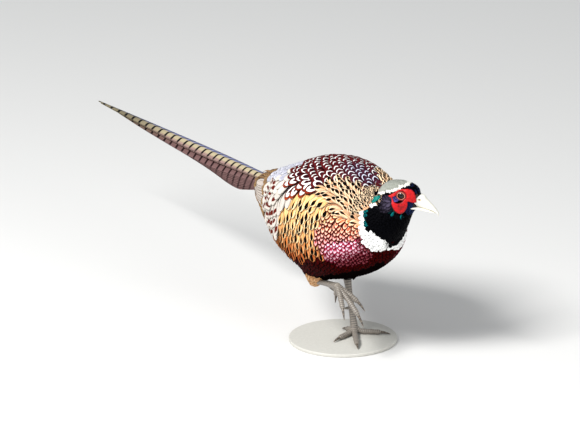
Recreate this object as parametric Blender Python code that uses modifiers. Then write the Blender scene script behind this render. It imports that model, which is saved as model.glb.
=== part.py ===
"""A ring-necked pheasant cock, life size, caught in mid step on its left foot.

The bird walks along +X with its left side to +Y and +Z up. The origin is the middle of
the underside of the small round base under the standing foot.
"""

import math

import bmesh
import bpy
import numpy as np

GAP = 0.0003
FLAT_ANGLE = math.radians(0.3)

# Base and stance
BASE_RADIUS = 0.068
BASE_HEIGHT = 0.004
AXIS_Y = -0.010

# Trunk: x, lowest, highest, half width of each section, metres above the base's top
TRUNK = (
    (-0.205, 0.148, 0.162, 0.010),
    (-0.180, 0.142, 0.169, 0.015),
    (-0.156, 0.133, 0.177, 0.020),
    (-0.134, 0.121, 0.185, 0.029),
    (-0.102, 0.106, 0.200, 0.043),
    (-0.064, 0.092, 0.217, 0.058),
    (-0.024, 0.084, 0.234, 0.067),
    (0.016, 0.085, 0.239, 0.069),
    (0.054, 0.0975, 0.237, 0.063),
    (0.084, 0.115, 0.227, 0.050),
    (0.106, 0.133, 0.209, 0.034),
    (0.117, 0.149, 0.187, 0.018),
)
TRUNK_SIDES = 28
TRUNK_RINGS = 22
TAIL_PLANE_X = -0.150

# Neck: centre x, y, z and radius of each section along its path
NECK = (
    (0.062, -0.010, 0.172, 0.046),
    (0.086, -0.009, 0.180, 0.038),
    (0.107, -0.007, 0.191, 0.030),
    (0.117, -0.001, 0.205, 0.0235),
    (0.121, 0.004, 0.218, 0.017),
)
COLLAR_POINT = (0.097, -0.008, 0.186)
COLLAR_NORMAL = (0.86, 0.0, 0.51)
THROAT_POINT = (0.115, -0.001, 0.2035)
THROAT_NORMAL = (0.22, 0.38, 0.90)

# Head: place between the eyes, its turn to the left and its dip, then sections along it
HEAD_AT = (0.126, 0.005, 0.2245)
HEAD_TURN = math.radians(45)
HEAD_DIP = math.radians(17)
HEAD = (
    (-0.0270, -0.0120, -0.0010, 0.0060),
    (-0.0230, -0.0180, 0.0060, 0.0105),
    (-0.0150, -0.0220, 0.0115, 0.0140),
    (-0.0050, -0.0230, 0.0148, 0.0155),
    (0.0050, -0.0220, 0.0162, 0.0150),
    (0.0130, -0.0200, 0.0158, 0.0125),
    (0.0190, -0.0175, 0.0128, 0.0098),
    (0.0230, -0.0150, 0.0085, 0.0075),
)
EYE_SIDE = 0.0098
EYE_AHEAD = 0.0010
EYE_UP = 0.0018
EYE_RADIUS = 0.0062
LID_RADIUS = 0.0056
LID_THICK = 0.0009

# Bill: along the head, lower edge, upper edge, half width
BILL_UPPER = (
    (0.0233, -0.0086, 0.0078, 0.0074),
    (0.0275, -0.0086, 0.0083, 0.0066),
    (0.0320, -0.0084, 0.0060, 0.0058),
    (0.0370, -0.0082, 0.0034, 0.0050),
    (0.0424, -0.0078, 0.0002, 0.0040),
    (0.0475, -0.0088, -0.0040, 0.0028),
    (0.0508, -0.0106, -0.0074, 0.0017),
    (0.0522, -0.0128, -0.0110, 0.0007),
)
BILL_LOWER = (
    (0.0233, -0.0140, -0.0090, 0.0066),
    (0.0300, -0.0126, -0.0089, 0.0056),
    (0.0380, -0.0114, -0.0087, 0.0044),
    (0.0440, -0.0106, -0.0086, 0.0028),
    (0.0475, -0.0102, -0.0094, 0.0010),
)
NOSTRIL_AT = (0.0262, 0.0062, 0.0014)
NOSTRIL_RADIUS = 0.0014

# Wattle: reach from the eye by the angle round it, in degrees counted from the bill upwards
WATTLE = ((0, 0.0215), (35, 0.0130), (70, 0.0090), (110, 0.0088), (150, 0.0100),
          (190, 0.0118), (225, 0.0125), (255, 0.0185), (285, 0.0225), (310, 0.0190), (335, 0.0180))
WATTLE_RISE = 0.0016
# Bulbs: angle round the eye and share of the way to the edge
WATTLE_BULBS = (
    (5, 0.78), (30, 0.75), (260, 0.72), (285, 0.62),
    (285, 0.86), (310, 0.75), (340, 0.72), (335, 0.50),
)
WATTLE_SIDES = 28
BULB_RADIUS = 0.0021
BULB_SINK = 0.55
LID_OUT = 0.0044
LID_RING = 16
LID_SECTION = 5

# Ear tufts: the first feather's root and reach in the head's own directions, then the step to the next
EAR_ROOT = (-0.0130, 0.0115, 0.0010)
EAR_REACH = (-0.0190, 0.0045, -0.0080)
EAR_ROOT_STEP = (0.0, 0.0, -0.0040)
EAR_REACH_STEP = (0.0020, 0.0, -0.0020)
EAR_BOW = (0.0, 0.0022, 0.0010)
EAR_WIDTHS = np.array((0.0040, 0.0050, 0.0045, 0.0030, 0.0006))
EAR_THICK = 0.0012
EAR_FEATHERS = 3

# Legs
LEFT_HOCK = (-0.020, 0.019, 0.070)
LEFT_ANKLE = (-0.002, 0.018, 0.0085)
LEFT_HIP = (0.006, 0.016, 0.112)
RIGHT_HOCK = (-0.015, -0.032, 0.0765)
RIGHT_ANKLE = (0.052, -0.042, 0.089)
RIGHT_HIP = (0.012, -0.034, 0.118)
THIGH_SWELL = np.array((0.0220, 0.0235, 0.0228, 0.0205, 0.0170, 0.0132, 0.0092))
THIGH_FLATNESS = 0.85
THIGH_BOW = (-0.004, 0.0, 0.0)
TARSUS_RADIUS = 0.0042
TARSUS_SWELL = np.array((1.2, 0.95, 0.88, 0.92, 1.1))
TARSUS_PLATES = 8
PLATE_RISE = 0.00035
PLATE_EDGE = 0.012
SPUR_PLACE = 0.62
SPUR_SINK = 0.002
SPUR_IN = (0.0, 0.007, 0.0)
SPUR_BACK = 0.009
SPUR_RADII = (0.0022, 0.0018, 0.0012, 0.0003)
TOE_RADIUS = 0.0036
TOE_SWELL = np.array((1.1, 1.0, 0.92, 1.0, 0.82, 0.9, 0.62))
TOE_REST = 0.86
TOE_LANDING = 0.012
TOE_ARCH = 0.16
CLAW_LENGTH = 0.012
SHORT_CLAW = 0.65
SHORT_TOE = 0.02
CLAW_GAP = 1.6 * GAP
CLAW_SINK = 0.004
CLAW_FLOOR_SINK = 0.003
CLAW_CLEARANCE = 0.0009
CLAW_RADIUS = 0.0017
CLAW_TIP_RADIUS = 0.00025
CLAW_TAPER = 0.7
ANKLE_RADIUS = 0.0056
ANKLE_RISE = 0.0042
HOCK_RADIUS = 0.0054
RIGHT_HEADING = math.radians(8)
# Toe: name, turn from straight ahead in degrees, length, plates
LEFT_TOES = (
    ("middle", -29, 0.050, 7),
    ("inner", -69, 0.032, 4),
    ("outer", 50, 0.034, 5),
    ("hind", 191, 0.014, 2),
)
RIGHT_TOES = (
    ("middle", 0, 0.048, 7),
    ("inner", 22, 0.032, 4),
    ("outer", -24, 0.034, 5),
    ("hind", 168, 0.014, 2),
)
RIGHT_TOE_DROP = math.radians(38)
HIND_TOE_DROP = math.radians(-68)

# Tail and wing
TAIL_ROOT_Z = 0.1630
TAIL_TIP_Z = 0.1515
TAIL_TIP_X = -0.553
WING_FRONT_X = 0.058
WING_REAR_X = -0.132
WING_ANGLE = math.radians(32)
WING_SPREAD = math.radians(31)
WING_SLOPE = 1.2
WING_THICK = 0.0042
WING_FEATHER_TILT = 0.10
# Core of the folded wing: share of the outline, height over the trunk as a share of the thickness, sink
WING_CORE = (
    (0.55, 0.0, 0.004),
    (1.0, 0.0, 0.003),
    (1.0, 0.0, -0.001),
    (0.93, 0.75, 0.0),
    (0.6, 1.0, 0.0),
    (0.2, 1.0, 0.0),
)
# Rows of wing feathers: root x, tip x, root and tip degrees up the flank, rise at root and tip, width, count
WING_TIERS = (
    ((-0.030, -0.060), (-0.138, -0.146), (2, 14), (5, 16), (-0.001, 0.0012), 0.014, 3),
    ((0.004, -0.040), (-0.118, -0.144), (6, 52), (8, 46), (-0.001, 0.0030), 0.021, 6),
    ((0.030, -0.004), (-0.044, -0.080), (6, 48), (3, 46), (0.001, 0.0046), 0.021, 5),
    ((0.052, 0.026), (-0.004, -0.038), (9, 50), (5, 49), (0.001, 0.0060), 0.021, 5),
    ((0.046, 0.012), (-0.030, -0.100), (66, 56), (64, 52), (0.0005, 0.0056), 0.022, 4),
)
VANE_SHAPE = np.array((0.45, 0.92, 1.0, 0.80, 0.16))
TAIL_PAIRS = 9
TAIL_STEP = 0.89
TAIL_WIDTH = 0.025
TAIL_SIDE_WIDTH = 0.019
TAIL_ROLL = math.radians(25)
TAIL_STEP_OUT = 0.0006
TAIL_STEP_DOWN = 0.0014
TAIL_SHAPE = np.array((0.5, 0.85, 1.0, 0.9, 0.68, 0.42, 0.10))
# Rings of tail coverts: how many and how far back they reach
COVERT_ROWS = ((7, -0.206), (6, -0.188))
COVERT_WIDTH = 0.015
COVERT_TURN = math.radians(18)
COVERT_SINK = 0.002
COVERT_SPREAD = 0.0195
COVERT_TALL = 0.0115
COVERT_DROP = 0.0035
COVERT_BOW = 0.0035
COVERT_OVER = 0.022


def colour(name, rgb, roughness, metallic=0.0):
    """A plain Principled finish."""
    material = bpy.data.materials.new(name)
    material.use_nodes = True
    shader = material.node_tree.nodes["Principled BSDF"]
    shader.inputs["Base Color"].default_value = (*rgb, 1.0)
    shader.inputs["Roughness"].default_value = roughness
    shader.inputs["Metallic"].default_value = metallic
    return material


def spline(rows, count):
    """Catmull-Rom curve through the rows, read at count evenly spaced places."""
    rows = np.asarray(rows, float)
    padded = np.vstack((2 * rows[0] - rows[1], rows, 2 * rows[-1] - rows[-2]))
    place = np.linspace(0, len(rows) - 1, count)
    start = np.minimum(place.astype(int), len(rows) - 2)
    t = (place - start)[:, None]
    a, b, c, d = (padded[start + step] for step in range(4))
    square = (2 * a - 5 * b + 4 * c - d) * t**2
    cube = (3 * b - a - 3 * c + d) * t**3
    return 0.5 * (2 * b + (c - a) * t + square + cube)


def unit(vector):
    vector = np.asarray(vector, float)
    return vector / np.linalg.norm(vector, axis=-1, keepdims=True)


def closed_mesh(name, rings):
    """A closed object from rings of points, with a fan at each end.

    The far half of each ring splits its quads the other way, so both faces of a vane match.
    """
    rings = np.asarray(rings, float)
    count, sides = rings.shape[:2]
    points = np.vstack((rings.reshape(-1, 3), rings[0].mean(axis=0), rings[-1].mean(axis=0)))
    faces = []
    for ring in range(count - 1):
        for side in range(sides):
            after = (side + 1) % sides
            a, b = ring * sides + side, ring * sides + after
            c, d = b + sides, a + sides
            faces += ((a, b, c), (a, c, d)) if side < sides / 2 else ((a, b, d), (b, c, d))
    last = (count - 1) * sides
    for side in range(sides):
        after = (side + 1) % sides
        faces.append((after, side, count * sides))
        faces.append((last + side, last + after, count * sides + 1))
    mesh = bpy.data.meshes.new(name)
    mesh.from_pydata(points.tolist(), [], faces)
    made = bmesh.new()
    made.from_mesh(mesh)
    bmesh.ops.recalc_face_normals(made, faces=made.faces)
    made.to_mesh(mesh)
    made.free()
    piece = bpy.data.objects.new(name, mesh)
    PARTS.objects.link(piece)
    return piece


def flat_sections(rows, count, sides, grow=0.0, power=2.25):
    """Upright sections across X: x, low, high and half width, as rounded ovals."""
    x, low, high, half = spline(rows, count).T
    angle = np.linspace(0, 2 * math.pi, sides, endpoint=False)
    across = np.sign(np.cos(angle)) * np.abs(np.cos(angle)) ** (2 / power)
    up = np.sign(np.sin(angle)) * np.abs(np.sin(angle)) ** (2 / power)
    middle = (low + high) / 2
    tall = (high - low) / 2
    return np.stack(
        (
            np.repeat(x[:, None], sides, axis=1),
            (half + grow)[:, None] * across,
            middle[:, None] + (tall + grow)[:, None] * up,
        ),
        axis=2,
    )


def trunk(name, grow=0.0):
    """The feathered body from breast to tail root, or that shape grown all round."""
    rows = np.array(TRUNK)
    rows[-1, 0] += grow
    rings = flat_sections(rows, TRUNK_RINGS, TRUNK_SIDES, grow)
    rings[:, :, 1] += AXIS_Y
    return closed_mesh(name, rings)


def tube_frames(path, up):
    """Side and upward directions at each point of a path."""
    along = unit(np.gradient(path, axis=0))
    side = unit(np.cross(np.broadcast_to(up, along.shape), along))
    return side, np.cross(along, side)


def tube(name, path, side_radius, up_radius, up=(0.0, 0.0, 1.0), sides=10):
    """A round or oval tube along a path, each ring square to it."""
    path = np.asarray(path, float)
    side, rise = tube_frames(path, up)
    angle = np.linspace(0, 2 * math.pi, sides, endpoint=False)
    wide = np.broadcast_to(side_radius, len(path))[:, None, None]
    high = np.broadcast_to(up_radius, len(path))[:, None, None]
    across = wide * side[:, None] * np.cos(angle)[:, None]
    tall = high * rise[:, None] * np.sin(angle)[:, None]
    return closed_mesh(name, path[:, None] + across + tall)


def head_to_world(points):
    """Head places (ahead, left, up) as places of the whole bird."""
    ahead, left, up = np.moveaxis(np.asarray(points, float), -1, 0)
    level = ahead * math.cos(HEAD_DIP) + up * math.sin(HEAD_DIP)
    rise = up * math.cos(HEAD_DIP) - ahead * math.sin(HEAD_DIP)
    x = HEAD_AT[0] + level * math.cos(HEAD_TURN) - left * math.sin(HEAD_TURN)
    y = HEAD_AT[1] + level * math.sin(HEAD_TURN) + left * math.cos(HEAD_TURN)
    return np.stack((x, y, HEAD_AT[2] + rise), axis=-1)


def block(name, point, normal, side, size=0.4):
    """A large box with one face at the point, square to the normal; side +1 puts it ahead of the point."""
    normal = unit(normal)
    across = unit(np.cross(normal, (0.0, 1.0, 0.0)))
    other = np.cross(normal, across)
    start = np.asarray(point) - normal * side * GAP / 2
    rings = []
    for depth in (0.0, side * size):
        corners = ((1, 1), (-1, 1), (-1, -1), (1, -1))
        rings.append([start + normal * depth + size * (a * across + b * other) for a, b in corners])
    return closed_mesh(name, rings)


def bake(piece):
    """Applies the piece's modifiers."""
    graph = bpy.context.evaluated_depsgraph_get()
    mesh = bpy.data.meshes.new_from_object(piece.evaluated_get(graph))
    piece.modifiers.clear()
    old = piece.data
    piece.data = mesh
    bpy.data.meshes.remove(old)


def remove(piece):
    mesh = piece.data
    bpy.data.objects.remove(piece)
    bpy.data.meshes.remove(mesh)


def largest_only(piece):
    """Keeps the piece's largest closed surface, with doubled points merged."""
    made = bmesh.new()
    made.from_mesh(piece.data)
    bmesh.ops.remove_doubles(made, verts=made.verts, dist=2e-6)
    bmesh.ops.dissolve_degenerate(made, edges=made.edges, dist=2e-6)
    bmesh.ops.triangulate(made, faces=made.faces)
    left = set(made.verts)
    shells = []
    while left:
        front = [left.pop()]
        shell = set(front)
        while front:
            vertex = front.pop()
            for edge in vertex.link_edges:
                other = edge.other_vert(vertex)
                if other in left:
                    left.discard(other)
                    shell.add(other)
                    front.append(other)
        shells.append(shell)
    biggest = max(shells, key=len)
    loose = [vertex for shell in shells if shell is not biggest for vertex in shell]
    bmesh.ops.delete(made, geom=loose, context="VERTS")
    bmesh.ops.dissolve_limit(made, angle_limit=FLAT_ANGLE, verts=made.verts, edges=made.edges)
    bmesh.ops.triangulate(made, faces=made.faces)
    made.to_mesh(piece.data)
    made.free()
    return piece


def combine(piece, others, operation):
    """One Boolean of the piece with the other pieces, which are then removed."""
    group = bpy.data.collections.new("cutters_now")
    for other in others:
        PARTS.objects.unlink(other)
        group.objects.link(other)
    modifier = piece.modifiers.new(operation.lower(), "BOOLEAN")
    modifier.operand_type = "COLLECTION"
    modifier.collection = group
    modifier.operation = operation
    modifier.solver = "EXACT"
    bake(piece)
    for other in others:
        remove(other)
    bpy.data.collections.remove(group)
    return largest_only(piece)


def finish(piece, material, sharp=35):
    """Gives the piece its finish and smooth shading broken at sharp edges."""
    piece.data.materials.clear()
    piece.data.materials.append(material)
    piece.data.shade_smooth()
    piece.data.set_sharp_from_angle(angle=math.radians(sharp))
    return piece


def neck_tube(name, grow=0.0):
    rows = spline(NECK, 9)
    return tube(name, rows[:, :3], rows[:, 3] + grow, rows[:, 3] + grow, up=(0.0, 1.0, 0.0), sides=22)


def head_form(name, grow=0.0):
    rings = flat_sections(HEAD, 13, 18, grow)
    return closed_mesh(name, head_to_world(rings))


def twin(piece, name):
    """A copy of the piece with a mesh of its own."""
    other = piece.copy()
    other.data = piece.data.copy()
    other.name = name
    PARTS.objects.link(other)
    return other


def make_flesh():
    """Trunk, neck and head fused, then parted at the collar, the throat and the tail root."""
    torso = combine(trunk("torso"), [neck_tube("neck_form"), head_form("head_form")], "UNION")
    neck, head = twin(torso, "neck"), twin(torso, "head")
    combine(torso, [block("ahead", COLLAR_POINT, COLLAR_NORMAL, 1)], "DIFFERENCE")
    combine(torso, [block("behind", (TAIL_PLANE_X, 0, 0), (1.0, 0.0, 0.0), -1)], "DIFFERENCE")
    combine(neck, [block("behind", COLLAR_POINT, COLLAR_NORMAL, -1)], "DIFFERENCE")
    combine(neck, [block("above", THROAT_POINT, THROAT_NORMAL, 1)], "DIFFERENCE")
    behind = block("behind", COLLAR_POINT, COLLAR_NORMAL, -1)
    combine(head, [behind, block("below", THROAT_POINT, THROAT_NORMAL, -1)], "DIFFERENCE")
    return torso, neck, head


def eye_centre(side):
    return head_to_world((EYE_AHEAD, side * EYE_SIDE, EYE_UP))


def ball(name, centre, radius, segments=16, rings=10):
    mesh = bpy.data.meshes.new(name)
    made = bmesh.new()
    bmesh.ops.create_uvsphere(made, u_segments=segments, v_segments=rings, radius=radius)
    bmesh.ops.triangulate(made, faces=made.faces)
    made.to_mesh(mesh)
    made.free()
    for vertex in mesh.vertices:
        vertex.co += type(vertex.co)(centre)
    piece = bpy.data.objects.new(name, mesh)
    PARTS.objects.link(piece)
    return piece


def bill_half(name, rows):
    rings = flat_sections(rows, 10, 12, power=2.4)
    return closed_mesh(name, head_to_world(rings))


def thigh(name, hip, hock):
    """The feathered leg above the hock, full at the hip and drawn in below."""
    path = spline((hip, 0.5 * (np.array(hip) + hock) + THIGH_BOW, hock), len(THIGH_SWELL))
    return tube(name, path, THIGH_SWELL * THIGH_FLATNESS, THIGH_SWELL, up=(0.0, 1.0, 0.0), sides=14)


def plated_tube(name, path, radius, plates, front, rise=PLATE_RISE, sides=8):
    """A tube whose front carries raised plates, each highest at its lower edge."""
    path = np.asarray(path, float)
    length = np.concatenate(((0.0,), np.cumsum(np.linalg.norm(np.diff(path, axis=0), axis=1))))
    share = np.linspace(0, 1, plates + 1)
    places = np.sort(np.concatenate((share, share[1:-1] + PLATE_EDGE)))
    lift = np.zeros(len(places))
    lift[1::2] = rise
    at = np.stack([np.interp(places * length[-1], length, path[:, axis]) for axis in range(3)], axis=1)
    wide = np.interp(places, np.linspace(0, 1, len(radius)), radius)
    side, up = tube_frames(at, front)
    angle = np.linspace(0, 2 * math.pi, sides, endpoint=False)
    reach = wide[:, None] + lift[:, None] * (np.sin(angle) > 0.3)
    rings = at[:, None] + reach[..., None] * (
        side[:, None] * np.cos(angle)[:, None] + up[:, None] * np.sin(angle)[:, None]
    )
    return closed_mesh(name, rings)


def on_trunk(x, angle, out=0.0):
    """The place on the trunk's surface at x, angle up from the left side, raised by out."""
    sections = spline(TRUNK, 60)
    low, high, half = (np.interp(x, sections[:, 0], sections[:, column]) for column in (1, 2, 3))
    y = AXIS_Y + (half + out) * np.cos(angle)
    z = (low + high) / 2 + ((high - low) / 2 + out) * np.sin(angle)
    return np.stack(np.broadcast_arrays(x, y, z), axis=-1)


def vane(name, path, across, widths, thick=0.0006):
    """A flat tapering feather along a path: each ring is a thin plate, wide along across."""
    path = np.asarray(path, float)
    across = unit(np.broadcast_to(across, path.shape))
    along = unit(np.gradient(path, axis=0))
    face = unit(np.cross(along, across))
    half = 0.5 * np.asarray(widths)[:, None] * across
    deep = 0.5 * thick * face
    rings = np.stack((path - half + deep, path + half + deep, path + half - deep, path - half - deep), axis=1)
    return closed_mesh(name, rings)


def wing_outline(share):
    """The folded wing's outline seen from the side, as x and angle up the flank."""
    turn = 2 * math.pi * share
    length = (WING_FRONT_X - WING_REAR_X) / 2
    x = (WING_FRONT_X + WING_REAR_X) / 2 + length * np.cos(turn)
    angle = WING_ANGLE + WING_SPREAD * np.sin(turn) - WING_SLOPE * (WING_FRONT_X - x)
    return x, angle


def mirror_angle(side, angle):
    """An angle up the left flank, or the same one on the right flank."""
    return angle if side > 0 else math.pi - angle


def wing_core(name, side, out):
    """The folded wing as a plate lying on the flank, sunk through the trunk's surface."""
    share = np.linspace(0, 1, 26, endpoint=False)
    x, angle = wing_outline(share)
    middle_x, middle_angle = x.mean(), angle.mean()
    rings = []
    for reach, height, sink in WING_CORE:
        ring_x = middle_x + (x - middle_x) * reach
        ring_angle = middle_angle + (angle - middle_angle) * reach
        rings.append(on_trunk(ring_x, mirror_angle(side, ring_angle), out * height - sink))
    return closed_mesh(name, rings)


def wing_feather(side, root, tip, rise, width):
    """One feather lying back along the flank; root and tip are x and degrees up the flank."""
    share = np.linspace(0, 1, 5)
    x = root[0] + (tip[0] - root[0]) * share
    angle = mirror_angle(side, np.radians(root[1] + (tip[1] - root[1]) * share))
    out = rise[0] + (rise[1] - rise[0]) * share
    path = on_trunk(x, angle, out)
    around = on_trunk(x, angle + 0.01, out) - on_trunk(x, angle - 0.01, out)
    outward = on_trunk(x, angle, out + 0.01) - path
    across = unit(around) + side * WING_FEATHER_TILT * unit(outward)
    return vane("feather", path, across, width * VANE_SHAPE)


def wing(side, name):
    """The folded wing: a core on the flank, covered by its rows of overlapping feathers."""
    core = wing_core(name, side, WING_THICK)
    feathers = []
    for root_x, tip_x, root_angle, tip_angle, rise, width, count in WING_TIERS:
        for step in np.linspace(0, 1, count):
            root = (np.interp(step, (0, 1), root_x), np.interp(step, (0, 1), root_angle))
            tip = (np.interp(step, (0, 1), tip_x), np.interp(step, (0, 1), tip_angle))
            feathers.append(wing_feather(side, root, tip, rise, width))
    combine(core, feathers, "UNION")
    return combine(core, [trunk("trunk_grown", GAP)], "DIFFERENCE")


def tail_level(x):
    """The height of the tail at x: it slopes evenly down from the rump to the tip."""
    share = (x - TAIL_PLANE_X) / (TAIL_TIP_X - TAIL_PLANE_X)
    return TAIL_ROOT_Z + (TAIL_TIP_Z - TAIL_ROOT_Z) * share


def tail_feather(side, rank):
    """One long tail feather: rank 0 is a middle one, lying over the others.

    The others lean out like a low roof, each a step below and outside the one before.
    """
    share = np.linspace(0, 1, 7)
    reach = (TAIL_TIP_X - TAIL_PLANE_X) * TAIL_STEP**rank * (1.0 if side > 0 else 0.985)
    x = TAIL_PLANE_X - 0.008 + (reach + 0.008) * share
    width = TAIL_WIDTH if rank == 0 else TAIL_SIDE_WIDTH
    roll = 0.0 if rank == 0 else TAIL_ROLL
    half = 0.5 * width * TAIL_SHAPE
    if rank == 0:
        out = 0.0
        z = tail_level(x) + (0.0048 if side > 0 else 0.0036)
    else:
        out = side * (GAP + half * math.cos(roll) + TAIL_STEP_OUT * (rank - 1))
        z = tail_level(x) + 0.0020 - half * math.sin(roll) - TAIL_STEP_DOWN * (rank - 1)
    across = (0.0, math.cos(roll), -side * math.sin(roll))
    path = np.stack(np.broadcast_arrays(x, AXIS_Y + out, z), axis=1)
    return vane("feather", path, across, width * TAIL_SHAPE, 0.0006)


def tail_covert(turn, tip_x):
    """A covert lying back from the rump onto the tail; turn is its angle round the tail root."""
    root = on_trunk(TAIL_PLANE_X - 0.009, turn, -COVERT_SINK)
    tip_y = AXIS_Y + COVERT_SPREAD * math.cos(turn)
    tip_z = tail_level(tip_x) - COVERT_DROP + COVERT_TALL * math.sin(turn)
    tip = np.array((tip_x, tip_y, tip_z))
    middle = 0.5 * (root + tip)
    middle[1:] += COVERT_BOW * np.array((math.cos(turn), math.sin(turn)))
    path = spline((root, middle, tip), 5)
    across = (0.0, -math.sin(turn), math.cos(turn))
    return vane("feather", path, across, COVERT_WIDTH * VANE_SHAPE, 0.0008)


def tail(name):
    """Nine pairs of graded tail feathers in a low roof, their roots under two rings of coverts."""
    core = trunk(name)
    combine(core, [block("rump_side", (TAIL_PLANE_X, 0, 0), (1.0, 0.0, 0.0), 1)], "DIFFERENCE")
    feathers = [tail_feather(side, rank) for rank in range(TAIL_PAIRS) for side in (1, -1)]
    for row, (count, tip_x) in enumerate(COVERT_ROWS):
        for step in range(count):
            turn = 2 * math.pi * (step + 0.5 * row) / count + COVERT_TURN
            feathers.append(tail_covert(turn, tip_x - COVERT_OVER * max(math.sin(turn), 0.0)))
    combine(core, feathers, "UNION")
    return combine(core, [block("rump_side", (TAIL_PLANE_X, 0, 0), (1.0, 0.0, 0.0), 1)], "DIFFERENCE")


def toe(name, start, turn, length, plates, drop, floor):
    """One toe and its claw; on the floor the toe lies level, in the air it hangs by drop."""
    ahead = np.array((math.cos(turn) * math.cos(drop), math.sin(turn), -math.cos(turn) * math.sin(drop)))
    share = np.linspace(0, 1, len(TOE_SWELL))
    path = start + share[:, None] * length * ahead
    if floor:
        rest = TOE_RADIUS * TOE_REST
        path[:, 2] = rest + (start[2] - rest) * np.clip(1 - share * length / TOE_LANDING, 0, 1) ** 2
    else:
        path[:, 2] -= TOE_ARCH * length * (share**2 - share)
    radius = TOE_RADIUS * TOE_SWELL
    across = np.array((-math.sin(turn), math.cos(turn), 0.0))
    front = np.cross(unit(path[-1] - path[-2]), across)
    digit = plated_tube(name, path, radius, plates, front if front[2] > 0 else -front)
    tip = unit(path[-1] - path[-2])
    begin = path[-1] + tip * CLAW_GAP
    bend = np.linspace(0, 1, 4)
    size = CLAW_LENGTH * (SHORT_CLAW if length < SHORT_TOE else 1.0)
    claw_path = begin + bend[:, None] * size * tip
    sink = min(begin[2] - CLAW_CLEARANCE, CLAW_FLOOR_SINK) if floor else CLAW_SINK
    claw_path[:, 2] -= sink * bend**2
    claw_radius = CLAW_RADIUS * (1 - bend) ** CLAW_TAPER + CLAW_TIP_RADIUS
    claw = tube(name.replace("toe", "claw"), claw_path, claw_radius * 0.85, claw_radius, sides=6)
    return digit, claw


def foot(side, ankle, hock, toes, drop, heading, floor):
    """The foot with its toes fused at the ankle, and the claws as pieces of their own."""
    base = ball(f"foot_{side}", ankle, ANKLE_RADIUS, 12, 8)
    digits = []
    claws = []
    for name, turn, length, plates in toes:
        angle = math.radians(turn) + heading
        fall = drop if name != "hind" or floor else HIND_TOE_DROP
        digit, claw = toe(f"toe_{side}_{name}", ankle, angle, length, plates, fall, floor)
        digits.append(digit)
        claws.append(claw)
    combine(base, digits, "UNION")
    ankle_way = unit(np.array(hock) - ankle)
    cutters = [block("ankle_top", ankle + ankle_way * ANKLE_RISE, ankle_way, 1, 0.02)]
    if floor:
        cutters.append(block("floor_cut", (0, 0, -GAP / 2), (0.0, 0.0, 1.0), -1, 0.2))
    combine(base, cutters, "DIFFERENCE")
    return base, claws


def leg(side, hip, hock, ankle, toes, drop, heading, floor):
    """Thigh, tarsus, foot and claws of one leg."""
    hip, hock, ankle = (np.array(place) for place in (hip, hock, ankle))
    shank = unit(ankle - hock)
    front = np.cross((0.0, 1.0, 0.0), shank)
    front = front if front[0] + front[2] > 0 else -front
    end = ankle - shank * (ANKLE_RISE + GAP)
    swell = TARSUS_RADIUS * TARSUS_SWELL

    def shaft(name, grow):
        path = spline((hock, 0.5 * (hock + end), end + shank * grow), 5)
        return plated_tube(name, path, swell + grow, TARSUS_PLATES, front, sides=10)

    tarsus = shaft(f"tarsus_{side}", 0.0)
    inner = -1.0 if side == "left" else 1.0
    spur_root = hock + (end - hock) * SPUR_PLACE - front * SPUR_SINK
    spur_way = inner * np.array(SPUR_IN) - front * SPUR_BACK
    spur_path = spur_root + np.linspace(0, 1, len(SPUR_RADII))[:, None] * spur_way
    spur = tube("spur", spur_path, SPUR_RADII, SPUR_RADII, sides=7)
    combine(tarsus, [ball("hock", hock, HOCK_RADIUS, 12, 8), spur], "UNION")
    upper = thigh(f"thigh_{side}", hip, hock)
    combine(
        upper,
        [trunk("trunk_grown", GAP), ball("hock_grown", hock, HOCK_RADIUS + GAP, 12, 8), shaft("shaft_grown", GAP)],
        "DIFFERENCE",
    )
    sole, claws = foot(side, ankle, hock, toes, drop, heading, floor)
    finish(upper, FINISHES["thigh"])
    for piece in (tarsus, sole):
        finish(piece, FINISHES["leg"])
    for claw in claws:
        finish(claw, FINISHES["claw"])


def head_half_width(ahead, up, grow=0.0):
    """How far out the head's side lies at a place ahead of and above the eye."""
    sections = spline(HEAD, 40)
    low, high, half = (np.interp(ahead, sections[:, 0], sections[:, column]) for column in (1, 2, 3))
    share = np.clip(np.abs((up - (low + high) / 2) / ((high - low) / 2 + grow)), 0, 0.98)
    return (half + grow) * (1 - share**2.25) ** (1 / 2.25)


def wattle(side, name):
    """The bare red face skin: a raised patch round the eye with folds and small bulbs."""
    turns = np.radians([row[0] for row in WATTLE] + [360])
    reach = [row[1] for row in WATTLE] + [WATTLE[0][1]]
    angle = np.linspace(0, 2 * math.pi, WATTLE_SIDES, endpoint=False)
    radius = np.interp(angle, turns, reach)
    rings = []
    for left in (0.003, 0.030):
        ring = np.stack((radius * np.cos(angle), np.full(WATTLE_SIDES, side * left), radius * np.sin(angle)), axis=1)
        rings.append(ring)
    prism = closed_mesh("wattle_prism", head_to_world(rings))
    skin = head_form(name, WATTLE_RISE)
    bulbs = []
    for turn, share in WATTLE_BULBS:
        far = np.interp(math.radians(turn), turns, reach) * share
        ahead, up = far * math.cos(math.radians(turn)), far * math.sin(math.radians(turn))
        out = side * (head_half_width(ahead, up, WATTLE_RISE) - BULB_RADIUS * BULB_SINK)
        bulbs.append(ball("bulb", head_to_world((ahead, out, up)), BULB_RADIUS, 7, 5))
    combine(skin, bulbs, "UNION")
    combine(skin, [prism], "INTERSECT")
    inside = [head_form("head_grown", GAP), neck_tube("neck_grown", GAP)]
    start, end = (head_to_world((EYE_AHEAD, side * out, EYE_UP)) for out in (0.0, 0.03))
    well = np.linspace(start, end, 3)
    inside.append(tube("lid_well", well, LID_RADIUS + LID_THICK + GAP, LID_RADIUS + LID_THICK + GAP, sides=20))
    combine(skin, inside, "DIFFERENCE")
    return skin


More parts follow.
